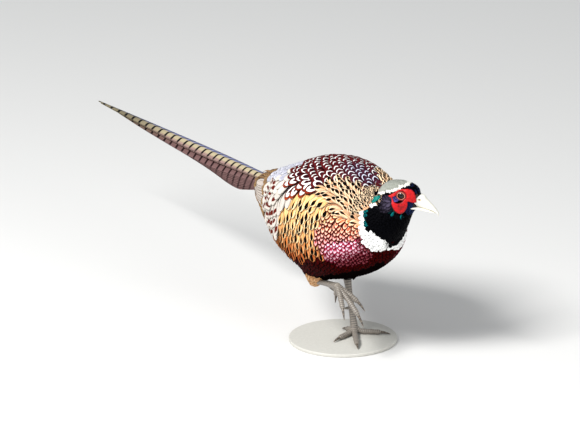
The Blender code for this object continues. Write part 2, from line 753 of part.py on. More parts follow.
def eyelid(side):
    """A ring of lid round the eye."""
    mesh = bpy.data.meshes.new("lid")
    angle = np.linspace(0, 2 * math.pi, LID_RING, endpoint=False)
    out = side * (EYE_SIDE + LID_OUT)
    ahead, up = EYE_AHEAD + LID_RADIUS * np.cos(angle), EYE_UP + LID_RADIUS * np.sin(angle)
    path = head_to_world(np.stack((ahead, np.full(LID_RING, out), up), axis=1))
    middle = head_to_world((EYE_AHEAD, out, EYE_UP))
    away = unit(path - middle)
    axis = unit(head_to_world((0, 1, 0)) - head_to_world((0, 0, 0)))
    turn = np.linspace(0, 2 * math.pi, LID_SECTION, endpoint=False)[:, None, None]
    rings = path + LID_THICK * (np.cos(turn) * away + np.sin(turn) * axis)
    rings = np.swapaxes(rings, 0, 1)
    points = rings.reshape(-1, 3)
    faces = []
    for ring in range(LID_RING):
        here, beyond = ring * LID_SECTION, (ring + 1) % LID_RING * LID_SECTION
        for corner in range(LID_SECTION):
            after = (corner + 1) % LID_SECTION
            faces.append((here + corner, here + after, beyond + after, beyond + corner))
    mesh.from_pydata(points.tolist(), [], faces)
    made = bmesh.new()
    made.from_mesh(mesh)
    bmesh.ops.triangulate(made, faces=made.faces)
    bmesh.ops.recalc_face_normals(made, faces=made.faces)
    made.to_mesh(mesh)
    made.free()
    piece = bpy.data.objects.new("lid", mesh)
    PARTS.objects.link(piece)
    return piece


def ear_tuft(side, grow=0.0):
    """Three tapering feathers lying back from the ear, or their shapes grown all round."""
    tufts = []
    sided = np.array((1, side, 1))
    for step in range(EAR_FEATHERS):
        root = sided * (np.array(EAR_ROOT) + step * np.array(EAR_ROOT_STEP))
        tip = root + sided * (np.array(EAR_REACH) + step * np.array(EAR_REACH_STEP))
        middle = 0.5 * (root + tip) + sided * EAR_BOW
        path = head_to_world(spline((root, middle, tip), len(EAR_WIDTHS)))
        out = unit(head_to_world((0, side, 0)) - head_to_world((0, 0, 0)))
        across = np.cross(unit(np.gradient(path, axis=0)), out)
        path[-1] += grow * unit(path[-1] - path[-2])
        tufts.append(vane("tuft", path, across, EAR_WIDTHS + 2 * grow, EAR_THICK + 2 * grow))
    return tufts


def make_head(head, neck):
    """Adds lids, ears and the sockets to the parted head, then eyes, bill and wattles."""
    combine(neck, [*ear_tuft(1, GAP), *ear_tuft(-1, GAP)], "DIFFERENCE")
    combine(head, [eyelid(1), eyelid(-1), *ear_tuft(1), *ear_tuft(-1)], "UNION")
    for side, name in ((1, "left"), (-1, "right")):
        combine(head, [ball("socket", eye_centre(side), EYE_RADIUS + GAP)], "DIFFERENCE")
        finish(ball(f"eye_{name}", eye_centre(side), EYE_RADIUS), FINISHES["eye"])
        finish(wattle(side, f"wattle_{name}"), FINISHES["wattle"])
    upper = bill_half("bill_upper", BILL_UPPER)
    nostrils = []
    for side in (1, -1):
        ahead, out, up = NOSTRIL_AT
        nostrils.append(ball("nostril", head_to_world((ahead, side * out, up)), NOSTRIL_RADIUS, 8, 6))
    combine(upper, nostrils, "DIFFERENCE")
    finish(upper, FINISHES["bill"])
    finish(bill_half("bill_lower", BILL_LOWER), FINISHES["bill"])


def make_base():
    """The small round base, its top edge eased."""
    bpy.ops.mesh.primitive_cylinder_add(vertices=40, radius=BASE_RADIUS, depth=BASE_HEIGHT,
                                        location=(0, 0, BASE_HEIGHT / 2))
    base = bpy.context.object
    base.name = "stand_base"
    base.data.name = "stand_base"
    for group in list(base.users_collection):
        group.objects.unlink(base)
    PARTS.objects.link(base)
    bevel = base.modifiers.new("eased", "BEVEL")
    bevel.width = 0.0008
    bevel.segments = 1
    bevel.limit_method = "ANGLE"
    return finish(base, FINISHES["base"])


def make_bird():
    torso, neck, head = make_flesh()
    make_head(head, neck)
    finish(head, FINISHES["head"])
    finish(neck, FINISHES["neck"])
    finish(torso, FINISHES["body"])
    for side, name in ((1, "wing_left"), (-1, "wing_right")):
        finish(wing(side, name), FINISHES["wing"])
    finish(tail("tail"), FINISHES["tail"])
    leg("left", LEFT_HIP, LEFT_HOCK, LEFT_ANKLE, LEFT_TOES, 0.0, 0.0, True)
    leg("right", RIGHT_HIP, RIGHT_HOCK, RIGHT_ANKLE, RIGHT_TOES, RIGHT_TOE_DROP, RIGHT_HEADING, False)


def clear_scene():
    for thing in list(bpy.data.objects):
        bpy.data.objects.remove(thing)


clear_scene()
PARTS = bpy.data.collections.new("pheasant")
bpy.context.scene.collection.children.link(PARTS)
FINISHES = {
    "body": colour("body_plumage", (0.45, 0.20, 0.07), 0.55),
    "wing": colour("wing_plumage", (0.52, 0.40, 0.28), 0.6),
    "tail": colour("tail_plumage", (0.50, 0.40, 0.24), 0.6),
    "thigh": colour("thigh_plumage", (0.10, 0.05, 0.03), 0.7),
    "neck": colour("neck_plumage", (0.010, 0.030, 0.040), 0.35),
    "head": colour("head_plumage", (0.012, 0.030, 0.032), 0.4),
    "wattle": colour("wattle_skin", (0.50, 0.012, 0.010), 0.5),
    "bill": colour("bill_horn", (0.72, 0.66, 0.50), 0.35),
    "eye": colour("eye_dark", (0.03, 0.012, 0.006), 0.08),
    "leg": colour("leg_scale", (0.22, 0.20, 0.18), 0.5),
    "claw": colour("claw_horn", (0.10, 0.085, 0.07), 0.4),
    "base": colour("base_paint", (0.62, 0.60, 0.56), 0.7),
}
make_bird()
STANCE = bpy.data.objects.new("stance", None)
STANCE.location = (0, 0, BASE_HEIGHT + GAP)
PARTS.objects.link(STANCE)
for part in list(PARTS.objects):
    if part.type == "MESH":
        part.parent = STANCE
make_base()
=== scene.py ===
"""A cock pheasant in mid-step on its small base: skin, plumage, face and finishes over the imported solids."""
import math

import bpy
import mathutils
import numpy as np
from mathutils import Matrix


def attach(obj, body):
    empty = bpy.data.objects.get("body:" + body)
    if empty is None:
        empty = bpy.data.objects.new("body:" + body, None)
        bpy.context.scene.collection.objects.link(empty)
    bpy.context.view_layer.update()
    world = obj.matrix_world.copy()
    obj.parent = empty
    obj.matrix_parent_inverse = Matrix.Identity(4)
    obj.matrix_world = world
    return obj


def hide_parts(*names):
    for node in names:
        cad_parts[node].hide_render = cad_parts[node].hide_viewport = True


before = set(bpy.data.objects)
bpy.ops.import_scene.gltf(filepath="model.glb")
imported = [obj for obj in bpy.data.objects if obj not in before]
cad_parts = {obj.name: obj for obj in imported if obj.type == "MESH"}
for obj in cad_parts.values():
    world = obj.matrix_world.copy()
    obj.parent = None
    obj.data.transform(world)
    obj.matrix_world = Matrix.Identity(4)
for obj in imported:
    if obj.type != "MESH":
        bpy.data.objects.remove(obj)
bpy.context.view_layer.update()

# The bird's own sizes, in metres, with every z above the ground that it stands on. A row of TRUNK or HEAD has
# the place along it, the lower edge, the upper edge and the half width. A row of NECK has a place and a radius.
GROUND = 0.0043
AXIS_Y = -0.010
TRUNK = (
    (-0.184, 0.150, 0.160, 0.006), (-0.170, 0.145, 0.166, 0.013), (-0.154, 0.134, 0.176, 0.021),
    (-0.134, 0.121, 0.185, 0.029), (-0.102, 0.106, 0.200, 0.043), (-0.064, 0.092, 0.217, 0.058),
    (-0.024, 0.084, 0.234, 0.067), (0.016, 0.085, 0.239, 0.069), (0.054, 0.0975, 0.237, 0.063),
    (0.084, 0.115, 0.227, 0.050), (0.106, 0.133, 0.209, 0.034), (0.117, 0.149, 0.187, 0.018),
    (0.1215, 0.153, 0.177, 0.012), (0.1232, 0.162, 0.168, 0.003),
)
NECK = (
    (0.062, -0.010, 0.172, 0.046), (0.086, -0.009, 0.180, 0.038), (0.107, -0.007, 0.191, 0.030),
    (0.117, -0.001, 0.205, 0.0235), (0.121, 0.004, 0.218, 0.017),
)
HEAD = (
    (-0.0270, -0.0120, -0.0010, 0.0060), (-0.0230, -0.0180, 0.0060, 0.0105), (-0.0150, -0.0220, 0.0115, 0.0140),
    (-0.0050, -0.0230, 0.0148, 0.0155), (0.0050, -0.0220, 0.0162, 0.0150), (0.0130, -0.0200, 0.0158, 0.0125),
    (0.0190, -0.0175, 0.0128, 0.0098), (0.0230, -0.0150, 0.0085, 0.0075),
)
HEAD_AT = np.array((0.126, 0.005, 0.2245))
HEAD_TURN = math.radians(45)
HEAD_DIP = math.radians(17)
LEFT_HOCK = np.array((-0.020, 0.019, 0.070))
LEFT_HIP = np.array((0.006, 0.016, 0.112))
RIGHT_HOCK = np.array((-0.015, -0.032, 0.0765))
RIGHT_HIP = np.array((0.012, -0.034, 0.118))
THIGH_SWELL = (0.022, 0.0235, 0.0228, 0.0205, 0.0170, 0.0132, 0.0092)
THIGH_SHARE = 0.93
TAIL_ROOT_X = -0.150
TAIL_ROOT_Z = 0.1630
TAIL_TIP_X = -0.553
TAIL_TIP_Z = 0.1515
OVAL = 2.25
BLEND = 0.0032
# How deep the skin lies under the plumage of trunk, neck, head and thighs.
COAT_DEPTH = np.array((0.0034, 0.0022, 0.0010, 0.0022, 0.0022))
SKIN_GRID = 0.0024
EYE = np.array((0.0010, 0.0098, 0.0018))
EYE_RADIUS = 0.0062
LID_REACH = 0.0058
SOCKET_DEPTH = 0.0034
SOCKET_REACH = 0.0060
PATCH = (0.003, 0.003)
DRAW = np.random.default_rng(11)


def linear(*colour):
    """Colours given as 0 to 255 on screen, as the linear values that a shader takes."""
    share = np.array(colour) / 255
    return np.where(share <= 0.04045, share / 12.92, ((share + 0.055) / 1.055) ** 2.4)


def unit(vector):
    return vector / np.maximum(np.linalg.norm(vector, axis=-1, keepdims=True), 1e-12)


def ramp(value, start, end):
    """0 up to start, 1 from end, and straight between them."""
    return np.clip((value - start) / (end - start), 0, 1)


def stacked(*ways):
    """Arrays of x, y and z, spread to one shape, as places."""
    return np.stack(np.broadcast_arrays(*ways), axis=-1)


def oval(turn, power):
    """cos and sin of a turn, to 2/power with their signs: places round |x|^power + |y|^power = 1."""
    return [np.sign(wave) * np.abs(wave) ** (2 / power) for wave in (np.cos(turn), np.sin(turn))]


def spline(rows, count):
    """Catmull-Rom through the rows: half of 2b + (c-a)t + (2a-5b+4c-d)t^2 + (3b-a-3c+d)t^3."""
    rows = np.asarray(rows, float)
    padded = np.vstack((2 * rows[0] - rows[1], rows, 2 * rows[-1] - rows[-2]))
    place = np.linspace(0, len(rows) - 1, count)
    start = np.minimum(place.astype(int), len(rows) - 2)
    t = (place - start)[:, None]
    a, b, c, d = (padded[start + step] for step in range(4))
    return 0.5 * (2 * b + (c - a) * t + (2 * a - 5 * b + 4 * c - d) * t**2 + (3 * b - a - 3 * c + d) * t**3)


def from_head(points):
    """(ahead, left, up) from between the eyes, turned and dipped with the head, as places in the world."""
    ahead, left, up = np.moveaxis(np.asarray(points, float), -1, 0)
    level = ahead * math.cos(HEAD_DIP) + up * math.sin(HEAD_DIP)
    rise = up * math.cos(HEAD_DIP) - ahead * math.sin(HEAD_DIP)
    x = level * math.cos(HEAD_TURN) - left * math.sin(HEAD_TURN)
    y = level * math.sin(HEAD_TURN) + left * math.cos(HEAD_TURN)
    return np.stack((x, y, rise), axis=-1) + HEAD_AT + (0, 0, GROUND)


def into_head(points):
    """Places in the world as (ahead, left, up) of the head: the turn and dip undone."""
    x, y, z = np.moveaxis(points - HEAD_AT - (0, 0, GROUND), -1, 0)
    level = x * math.cos(HEAD_TURN) + y * math.sin(HEAD_TURN)
    left = y * math.cos(HEAD_TURN) - x * math.sin(HEAD_TURN)
    ahead = level * math.cos(HEAD_DIP) - z * math.sin(HEAD_DIP)
    return np.stack((ahead, left, level * math.sin(HEAD_DIP) + z * math.cos(HEAD_DIP)), axis=-1)


def head_way(axis):
    """A way given along the head's own axes, as a way in the world."""
    return from_head(axis) - from_head((0.0, 0, 0))


def raised(rows):
    """Rows of x, y, z and more, set up onto the ground of the base."""
    rows = np.array(rows, float)
    rows[:, 2] += GROUND
    return rows


def thigh_rows(hip, hock):
    path = spline((hip, 0.5 * (hip + hock) + (-0.004, 0, 0), hock), 24)
    return raised(np.hstack((path, THIGH_SHARE * spline(np.array(THIGH_SWELL)[:, None], 24))))


TRUNK_TABLE = spline([(x, low + GROUND, high + GROUND, half) for x, low, high, half in TRUNK], 120)
HEAD_TABLE = spline(HEAD, 60)
NECK_TABLE = spline(raised(NECK), 40)
THIGHS = (thigh_rows(LEFT_HIP, LEFT_HOCK), thigh_rows(RIGHT_HIP, RIGHT_HOCK))


def loft_at(table, along):
    """A loft's lower edge, upper edge and half width at places along it."""
    return [np.interp(along, table[:, 0], table[:, k]) for k in (1, 2, 3)]


def trunk_angle(points):
    """Degrees up the flank, from -90 under the belly to 90 on the back, and the trunk's half sizes there."""
    low, high, half = loft_at(TRUNK_TABLE, points[:, 0])
    rise = (high - low) / 2
    level = points[:, 2] - (low + high) / 2
    return np.degrees(np.arctan2(level / rise, np.abs(points[:, 1] - AXIS_Y) / half)), half, rise, level


def wing_swell(x, angle):
    """How far the folded wing stands out: a smooth hump, cos^2 along the wing times cos^2 round the flank."""
    along = np.clip((x + 0.030) / np.where(x > -0.030, 0.085, 0.105), -1, 1)
    about = np.clip((angle - 36) / 40, -1, 1)
    return 0.0048 * np.cos(along * np.pi / 2) ** 2 * np.cos(about * np.pi / 2) ** 2


def loft_reach(along, across, level, half, rise, table):
    """r(1 - 1/q) with q = ((|across|/half)^p + (|level|/rise)^p)^(1/p): how far a point is outside a loft."""
    q = ((np.abs(across) / half) ** OVAL + (np.abs(level) / rise) ** OVAL) ** (1 / OVAL)
    out = np.hypot(across, level) * (1 - 1 / np.maximum(q, 1e-3))
    past = np.maximum(along - table[-1, 0], 0) + np.maximum(table[0, 0] - along, 0)
    return np.where(past > 0, np.hypot(np.maximum(out, 0), past), out)


def tube_reach(points, rows):
    """Distance to the nearest place of a path less the radius there, and that place's number."""
    square = (points**2).sum(1)[:, None] - 2 * points @ rows[:, :3].T + (rows[:, :3] ** 2).sum(1)
    reach = np.sqrt(np.maximum(square, 0)) - rows[:, 3]
    nearest = reach.argmin(1)
    return reach[np.arange(len(points)), nearest], nearest


def form(points):
    """The plumage's outer surface is where this is 0: -k log sum exp(-reach/k) over trunk, neck, head and thighs.

    A socket deep exp(-(r/6 mm)^4) is hollowed out of it round each eye. The shares of the parts come with it.
    """
    angle, half, rise, level = trunk_angle(points)
    swell = wing_swell(points[:, 0], angle)
    reach = [loft_reach(points[:, 0], points[:, 1] - AXIS_Y, level, half + swell, rise + swell, TRUNK_TABLE)]
    reach.append(tube_reach(points, NECK_TABLE)[0])
    ahead, left, up = into_head(points).T
    low, high, half = loft_at(HEAD_TABLE, ahead)
    reach.append(loft_reach(ahead, left, up - (low + high) / 2, half, (high - low) / 2, HEAD_TABLE))
    reach.extend(tube_reach(points, rows)[0] for rows in THIGHS)
    reach = np.stack(reach)
    least = reach.min(0)
    share = np.exp(-(reach - least) / BLEND)
    socket = SOCKET_DEPTH * np.exp(-((np.hypot(ahead - EYE[0], up - EYE[2]) / SOCKET_REACH) ** 4))
    return least - BLEND * np.log(share.sum(0)) + socket * (np.abs(left) > 0.006), (share / share.sum(0)).T


def settle(points, height=0.0, steps=4):
    """Walks points down the slope of the form to its surface, then out by height along its normal."""
    for _ in range(steps):
        value = form(points)[0]
        slope = np.stack([form(points + step)[0] - value for step in np.eye(3) * 2e-4], axis=1) / 2e-4
        size = np.maximum((slope**2).sum(1), 0.2)
        points = points - (value / size)[:, None] * slope
    normal = unit(slope)
    return points + normal * np.asarray(height)[..., None], normal


# Degrees that the feathers turn down from straight back, by x and by degrees up the flank.
LIE_X = np.array((-0.150, -0.080, -0.030, 0.015, 0.060, 0.085, 0.105))
LIE_UP = np.array((-90, -45, -10, 15, 24, 34, 48, 68, 90))
LIE = np.array((
    (0, 30, 35, 30, 28, 20, 10, 0, 0), (0, 40, 42, 36, 34, 32, 24, 8, 0), (0, 80, 86, 80, 72, 60, 36, 10, 0),
    (0, 88, 90, 90, 88, 78, 34, 2, 0), (0, 85, 90, 90, 84, 40, -10, -18, 0), (0, 70, 85, 85, 0, -30, -30, -20, 0),
    (0, 40, 60, 30, -40, -40, -30, -20, 0),
))
NECK_WAY = -unit(np.gradient(NECK_TABLE[:, :3], axis=0))
HEAD_BACK = head_way((-1.0, 0, -0.22))


def lie_angle(x, up):
    """The table of lies read between its values, straight across both ways."""
    column = np.interp(x, LIE_X, np.arange(len(LIE_X)))
    row = np.interp(up, LIE_UP, np.arange(len(LIE_UP)))
    i, j = np.minimum(column.astype(int), len(LIE_X) - 2), np.minimum(row.astype(int), len(LIE_UP) - 2)
    s, t = column - i, row - j
    near = LIE[i, j] * (1 - t) + LIE[i, j + 1] * t
    far = LIE[i + 1, j] * (1 - t) + LIE[i + 1, j + 1] * t
    return np.radians(near * (1 - s) + far * s)


def flow(points, normal, share):
    """The way the feathers lie: back and down on the trunk, down neck and thighs, back over the head."""

    def flat(way):
        way = np.broadcast_to(way, points.shape)
        return unit(way - normal * (way * normal).sum(-1, keepdims=True))

    turn = lie_angle(points[:, 0], trunk_angle(points)[0])[:, None]
    trunk_way = np.cos(turn) * flat((-1.0, 0, 0)) + np.sin(turn) * flat((0, 0, -1.0))
    neck_way = flat(NECK_WAY[tube_reach(points, NECK_TABLE)[1]])
    nape = ramp(np.abs(collar_zone(points, 0.0)[3][:, None]), 100, 110)
    ways = [trunk_way, neck_way * (1 - nape) + trunk_way * nape, flat(HEAD_BACK)]
    for hip, hock in ((LEFT_HIP, LEFT_HOCK), (RIGHT_HIP, RIGHT_HOCK)):
        ways.append(flat(hock - hip + (-0.012, 0, 0)))
    return flat(sum(way * share[:, k : k + 1] for k, way in enumerate(ways)))


def grid_faces(index):
    """Four-cornered faces between the rows and columns of a grid of corner numbers."""
    return np.stack((index[:-1, :-1], index[:-1, 1:], index[1:, 1:], index[1:, :-1]), axis=-1).reshape(-1, 4)


def net_faces(rows, columns, wrap_rows=False):
    """Faces of a grid that closes round its columns, and round its rows too if it should."""
    index = np.arange(rows * columns).reshape(rows, columns)
    if wrap_rows:
        index = np.vstack((index, index[:1]))
    return grid_faces(np.hstack((index, index[:, :1])))


def tube_faces(rows, columns):
    """Faces of a grid that closes round its columns, with a many-cornered face at each end."""
    first = np.arange(columns)[None]
    return [net_faces(rows, columns), first[:, ::-1], (rows - 1) * columns + first]


def mesh_piece(name, points, faces, material, attributes=None, uvs=None, smooth=True):
    """A mesh object at the origin from places, one or more arrays of faces, named attributes and UV maps."""
    mesh = bpy.data.meshes.new(name)
    groups = faces if isinstance(faces, list) else [faces]
    corners = np.concatenate([group.ravel() for group in groups]).astype(np.int32)
    sides = np.concatenate([np.full(len(group), group.shape[1]) for group in groups])
    mesh.vertices.add(len(points))
    mesh.vertices.foreach_set("co", np.asarray(points, np.float32).ravel())
    mesh.loops.add(len(corners))
    mesh.loops.foreach_set("vertex_index", corners)
    mesh.polygons.add(len(sides))
    mesh.polygons.foreach_set("loop_start", np.concatenate(((0,), np.cumsum(sides)[:-1])).astype(np.int32))
    mesh.update(calc_edges=True)
    for key, values in (attributes or {}).items():
        kind, field = ("FLOAT", "value") if values.ndim == 1 else ("FLOAT_VECTOR", "vector")
        mesh.attributes.new(key, kind, "POINT").data.foreach_set(field, values.astype(np.float32).ravel())
    for key, values in (uvs or {}).items():
        layer = mesh.uv_layers.new(name=key)
        layer.uv.foreach_set("vector", values.astype(np.float32)[corners].ravel())
    mesh.polygons.foreach_set("use_smooth", np.full(len(sides), smooth))
    mesh.materials.append(material)
    mesh.validate()
    piece = bpy.data.objects.new(name, mesh)
    bpy.context.scene.collection.objects.link(piece)
    return piece


def placed(piece, slot, *nodes):
    """Sets a piece on the one body and hides the nodes that it stands for. Its finish slot is not used."""
    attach(piece, "root")
    if nodes:
        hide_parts(*nodes)
    return piece


# How far along a small vane its rows of corners lie, and the half width at each as a share of the widest.
VANE_REACH = np.array((0.0, 0.25, 0.5, 0.72, 0.88, 0.97, 1.0))
VANE_HALF = np.array((0.30, 0.72, 0.98, 1.0, 0.80, 0.45, 0.16))
VANE_TURNS = 4


def vane_piece(name, top, face, thick, centre, size, reach, looks, material, slot):
    """Closed vanes from top sheets by vane, row and column, each with an underside that shares its rim.

    VaneUV runs from 0 to 1 across and along each vane. OFBake gives each its own patch of one size.
    """
    count, rows, columns = top.shape[:3]
    under = top[:, 1:-1, 1:-1] - face[:, 1:-1, None] * thick
    points = np.concatenate((top.reshape(count, -1, 3), under.reshape(count, -1, 3)), axis=1)
    corners = points.shape[1]
    upper = np.arange(rows * columns).reshape(rows, columns)
    lower = upper.copy()
    lower[1:-1, 1:-1] = np.arange(rows * columns, corners).reshape(rows - 2, columns - 2)
    faces = np.vstack((grid_faces(upper), grid_faces(lower)[:, [0, 3, 2, 1]]))
    faces = (faces + corners * np.arange(count)[:, None, None]).reshape(-1, 4)
    flat = np.stack(np.broadcast_arrays(np.linspace(0, 1, columns), reach[:, None]), axis=-1)
    flat = np.concatenate((flat.reshape(-1, 2), flat[1:-1, 1:-1].reshape(-1, 2)))
    patches = centre[:, None] + (flat - 0.5) * size
    uvs = {"VaneUV": np.tile(flat, (count, 1)), "OFBake": patches.reshape(-1, 2)}
    spread = {key: np.repeat(values, corners, axis=0) for key, values in looks.items()}
    return placed(mesh_piece(name, points.reshape(-1, 3), faces, material, spread, uvs), slot)


def lay_vanes(roots, length, width, sink, lift, sway, roll, columns=5, bow=0.035):
    """Top sheets of vanes walked from their roots along the lie of the coat, each row settled on the form.

    Height over the form is -sink(1-s)^0.9 + lift*s^3 - (w u)^2/2/bow + roll*u, for s along and u across.
    """
    at, normal = settle(roots)
    rows = []
    for step, reach in enumerate(VANE_REACH):
        if step:
            at, normal = settle(at + (length * (reach - VANE_REACH[step - 1]))[:, None] * way, steps=2)
        if step < VANE_TURNS:
            way = flow(at, normal, form(at)[1])
            way = unit(way + np.tan(sway)[:, None] * np.cross(normal, way))
        rows.append((at, normal, np.cross(normal, way)))
    places, normals, across = (np.stack(values, axis=1) for values in zip(*rows))
    s = VANE_REACH[None, :, None]
    half = (width[:, None] / 2 * VANE_HALF)[:, :, None] * np.linspace(-1, 1, columns)
    height = lift[:, None, None] * s**3 - sink * (1 - s) ** 0.9
    height = height - half**2 / (2 * bow) + roll[:, None, None] * half
    top = places[:, :, None] + across[:, :, None] * half[..., None] + normals[:, :, None] * height[..., None]
    return top, normals


def long_vanes(name, vanes, camber, columns, tone, material, slot, size=PATCH, rows=1, thick=0.0004):
    """Long feathers, P(s,u) = path + across w u/2 - face camber w u^2, each from its (path, across, w).

    Their tones differ at random, and their patches lie in rows.
    """
    paths, across, widths = (np.array(values) for values in zip(*vanes))
    count, stations = paths.shape[:2]
    along = unit(np.gradient(paths, axis=1))
    across = unit(across - along * (across * along).sum(-1, keepdims=True))
    face = np.cross(along, across)
    turned = face[:, 0, 2] < 0
    face = face * np.sign(face[..., 2:] + 1e-9)
    u = np.linspace(-1, 1, columns)
    top = paths[:, :, None] + across[:, :, None] * (0.5 * widths[..., None] * u)[..., None]
    top = top - face[:, :, None] * (camber * widths[..., None] * u**2)[..., None]
    top[turned] = top[turned][:, :, ::-1]
    row, place = np.divmod(np.arange(count), math.ceil(count / rows))
    centre = np.stack((0.03 + 0.94 * (place + 0.5) / math.ceil(count / rows), (row + 0.5) / rows), axis=1)
    looks = {"tone": 1 + tone * DRAW.uniform(-1, 1, count)}
    return vane_piece(name, top, face, thick, centre, size, np.linspace(0, 1, stations), looks, material, slot)


# Materials: a value class and a few helpers, then the shared group of a feather's marks.
class Wire:
    """A value inside a shader. Arithmetic on it adds the nodes that work it out."""

    def __init__(self, socket):
        self.socket = socket
        self.tree = socket.id_data

    def math(self, operation, *others, clamp=False):
        made = add_node(self.tree, "Math", self, *others, operation=operation, use_clamp=clamp)
        return Wire(made.outputs[0])

    def __add__(self, other):
        return self.math("ADD", other)

    def __sub__(self, other):
        return self.math("SUBTRACT", other)

    def __mul__(self, other):
        return self.math("MULTIPLY", other)

    def __truediv__(self, other):
        return self.math("DIVIDE", other)

    def __abs__(self):
        return self.math("ABSOLUTE")

    def step(self, low, high):
        """A smooth step from 0 at low to 1 at high."""
        made = add_node(self.tree, "MapRange", self, low, high, 0.0, 1.0, interpolation_type="SMOOTHSTEP")
        return Wire(made.outputs[0])

    def less(self):
        """1 less this."""
        return self * -1.0 + 1.0

    def parts(self):
        return [Wire(socket) for socket in add_node(self.tree, "SeparateXYZ", self).outputs]


def join(value, socket):
    """Links a wire or a socket to a socket, or sets a constant there."""
    value = value.socket if isinstance(value, Wire) else value
    if isinstance(value, bpy.types.NodeSocket):
        socket.id_data.links.new(value, socket)
    else:
        socket.default_value = value


def add_node(tree, kind, *inputs, **settings):
    """A shader node with its settings, its first inputs joined."""
    made = tree.nodes.new(f"ShaderNode{kind}")
    for key, value in settings.items():
        setattr(made, key, value)
    for socket, value in zip(made.inputs, inputs):
        join(value, socket)
    return made


def blend(share, first, second):
    """A colour mixed from two by a share. Plain colours are three numbers."""
    made = add_node(share.tree, "Mix", share, data_type="RGBA")
    for socket, value in ((made.inputs[6], first), (made.inputs[7], second)):
        join(value if isinstance(value, Wire) else (*value, 1), socket)
    return Wire(made.outputs[2])


def scaled(colour, shade):
    made = add_node(colour.tree, "VectorMath", colour, operation="SCALE")
    join(shade, made.inputs["Scale"])
    return made.outputs[0]


def noise(place, scale, detail):
    made = add_node(place.tree, "TexNoise", place)
    made.inputs["Scale"].default_value = scale
    made.inputs["Detail"].default_value = detail
    return Wire(made.outputs[0])


def strand_noise(vane, own, across, along):
    """A smooth noise over a vane, -0.4 to 0.4: so many cells across it and along it, its own on each."""
    place = add_node(own.tree, "CombineXYZ", own * 31.0 + vane[0] * across, own * 17.0 + vane[1] * along, 0.0)
    return noise(Wire(place.outputs[0]), 1.0, 2.0) - 0.5


def attribute(tree, name, output="Fac"):
    return Wire(add_node(tree, "Attribute", attribute_name=name).outputs[output])


def object_place(tree):
    return Wire(add_node(tree, "TexCoord").outputs["Object"])


def vane_place(tree):
    return Wire(add_node(tree, "UVMap", uv_map="VaneUV").outputs[0])


def plain(name, colour, roughness=0.5, **more):
    """A material of one colour, and its shader node."""
    material = bpy.data.materials.new(name)
    material.use_nodes = True
    shader = material.node_tree.nodes["Principled BSDF"]
    shader.inputs["Base Color"].default_value = (*colour, 1)
    shader.inputs["Roughness"].default_value = roughness
    for key, value in more.items():
        shader.inputs[key.replace("_", " ")].default_value = value
    return material, shader


def bump(shader, height, strength, distance):
    made = add_node(shader.id_data, "Bump")
    made.inputs["Strength"].default_value = strength
    made.inputs["Distance"].default_value = distance
    join(height, made.inputs["Height"])
    join(made.outputs[0], shader.inputs["Normal"])


VANE_INPUTS = {
    "Ground": "Color", "Band": "Color", "Rim": "Color", "Mark": "Color", "Widths": "Vector", "Spot": "Vector",
    "Own": "Fac", "Tilt": "Fac",
}
MARK_EDGE = 0.05


def vane_group():
    """A feather's marks: a ground, a pale band, a dark line round it, a coloured rim and a spot near the tip.

    Rims and bands follow the distance (across^2 + (1.9v - 0.9)^2)^0.5 from the vane's middle line and base.
    """
    tree = bpy.data.node_groups.new("vane_marks", "ShaderNodeTree")
    for key, kind in (*VANE_INPUTS.items(), ("Vane", "Vector")):
        tree.interface.new_socket(key, in_out="INPUT", socket_type=f"NodeSocket{kind.replace('Fac', 'Float')}")
    for key, kind in (("Colour", "Color"), ("Barbs", "Float")):
        tree.interface.new_socket(key, in_out="OUTPUT", socket_type=f"NodeSocket{kind}")
    given = {socket.name: Wire(socket) for socket in tree.nodes.new("NodeGroupInput").outputs if socket.name}
    made = tree.nodes.new("NodeGroupOutput")
    vane, own, tilt = given["Vane"].parts(), given["Own"], given["Tilt"]
    rim_from, band_from, band_to = given["Widths"].parts()
    spot_at, spot_half, spot_long = given["Spot"].parts()
    cloud = strand_noise(vane, own, 7.0, 2.4)
    strand = strand_noise(vane, own, 26.0, 2.0)
    streak = strand_noise(vane, own, 11.0, 1.0)
    across = vane[0] * 2.0 + (own * 0.24 - 1.0)
    aside = abs(across)
    tipward = (vane[1] * 1.9 - 0.9).math("MAXIMUM", 0.0)
    out = (aside * aside + tipward * tipward).math("SQRT") + cloud * 0.16

    def between(low, high):
        start, end = (out.step(edge - MARK_EDGE, edge + MARK_EDGE) for edge in (low, high))
        return start.math("SUBTRACT", end, clamp=True)

    has_band = (band_to - band_from).math("GREATER_THAN", 0.02)
    mixed = (streak * 2.6).math("ADD", 0.30, clamp=True)
    colour = blend(mixed * has_band.less(), given["Ground"], given["Rim"])
    colour = blend(between(band_to, rim_from) * has_band, colour, given["Mark"])
    colour = blend(between(band_from, band_to) * has_band, colour, given["Band"])
    far = (vane[1] - tilt * across - spot_at) / spot_long
    taper = spot_half * vane[1].step(0.42, 0.98).math("MAXIMUM", abs(tilt) * 4.0)
    wide = aside / (taper * 0.9 + 0.03)
    inside = (far * far + wide * wide + cloud * 1.7).step(0.75, 1.25).less()
    colour = blend(out.step(rim_from - MARK_EDGE, rim_from + 0.09), colour, given["Rim"])
    colour = blend(inside, colour, given["Mark"])
    barb = (vane[1] * 150.0 - aside * 60.0).math("SINE")
    join(scaled(colour, barb * 0.03 + (strand * 0.55 + 0.98)), made.inputs["Colour"])
    join(barb, made.inputs["Barbs"])
    return tree


VANE_MARKS = vane_group()


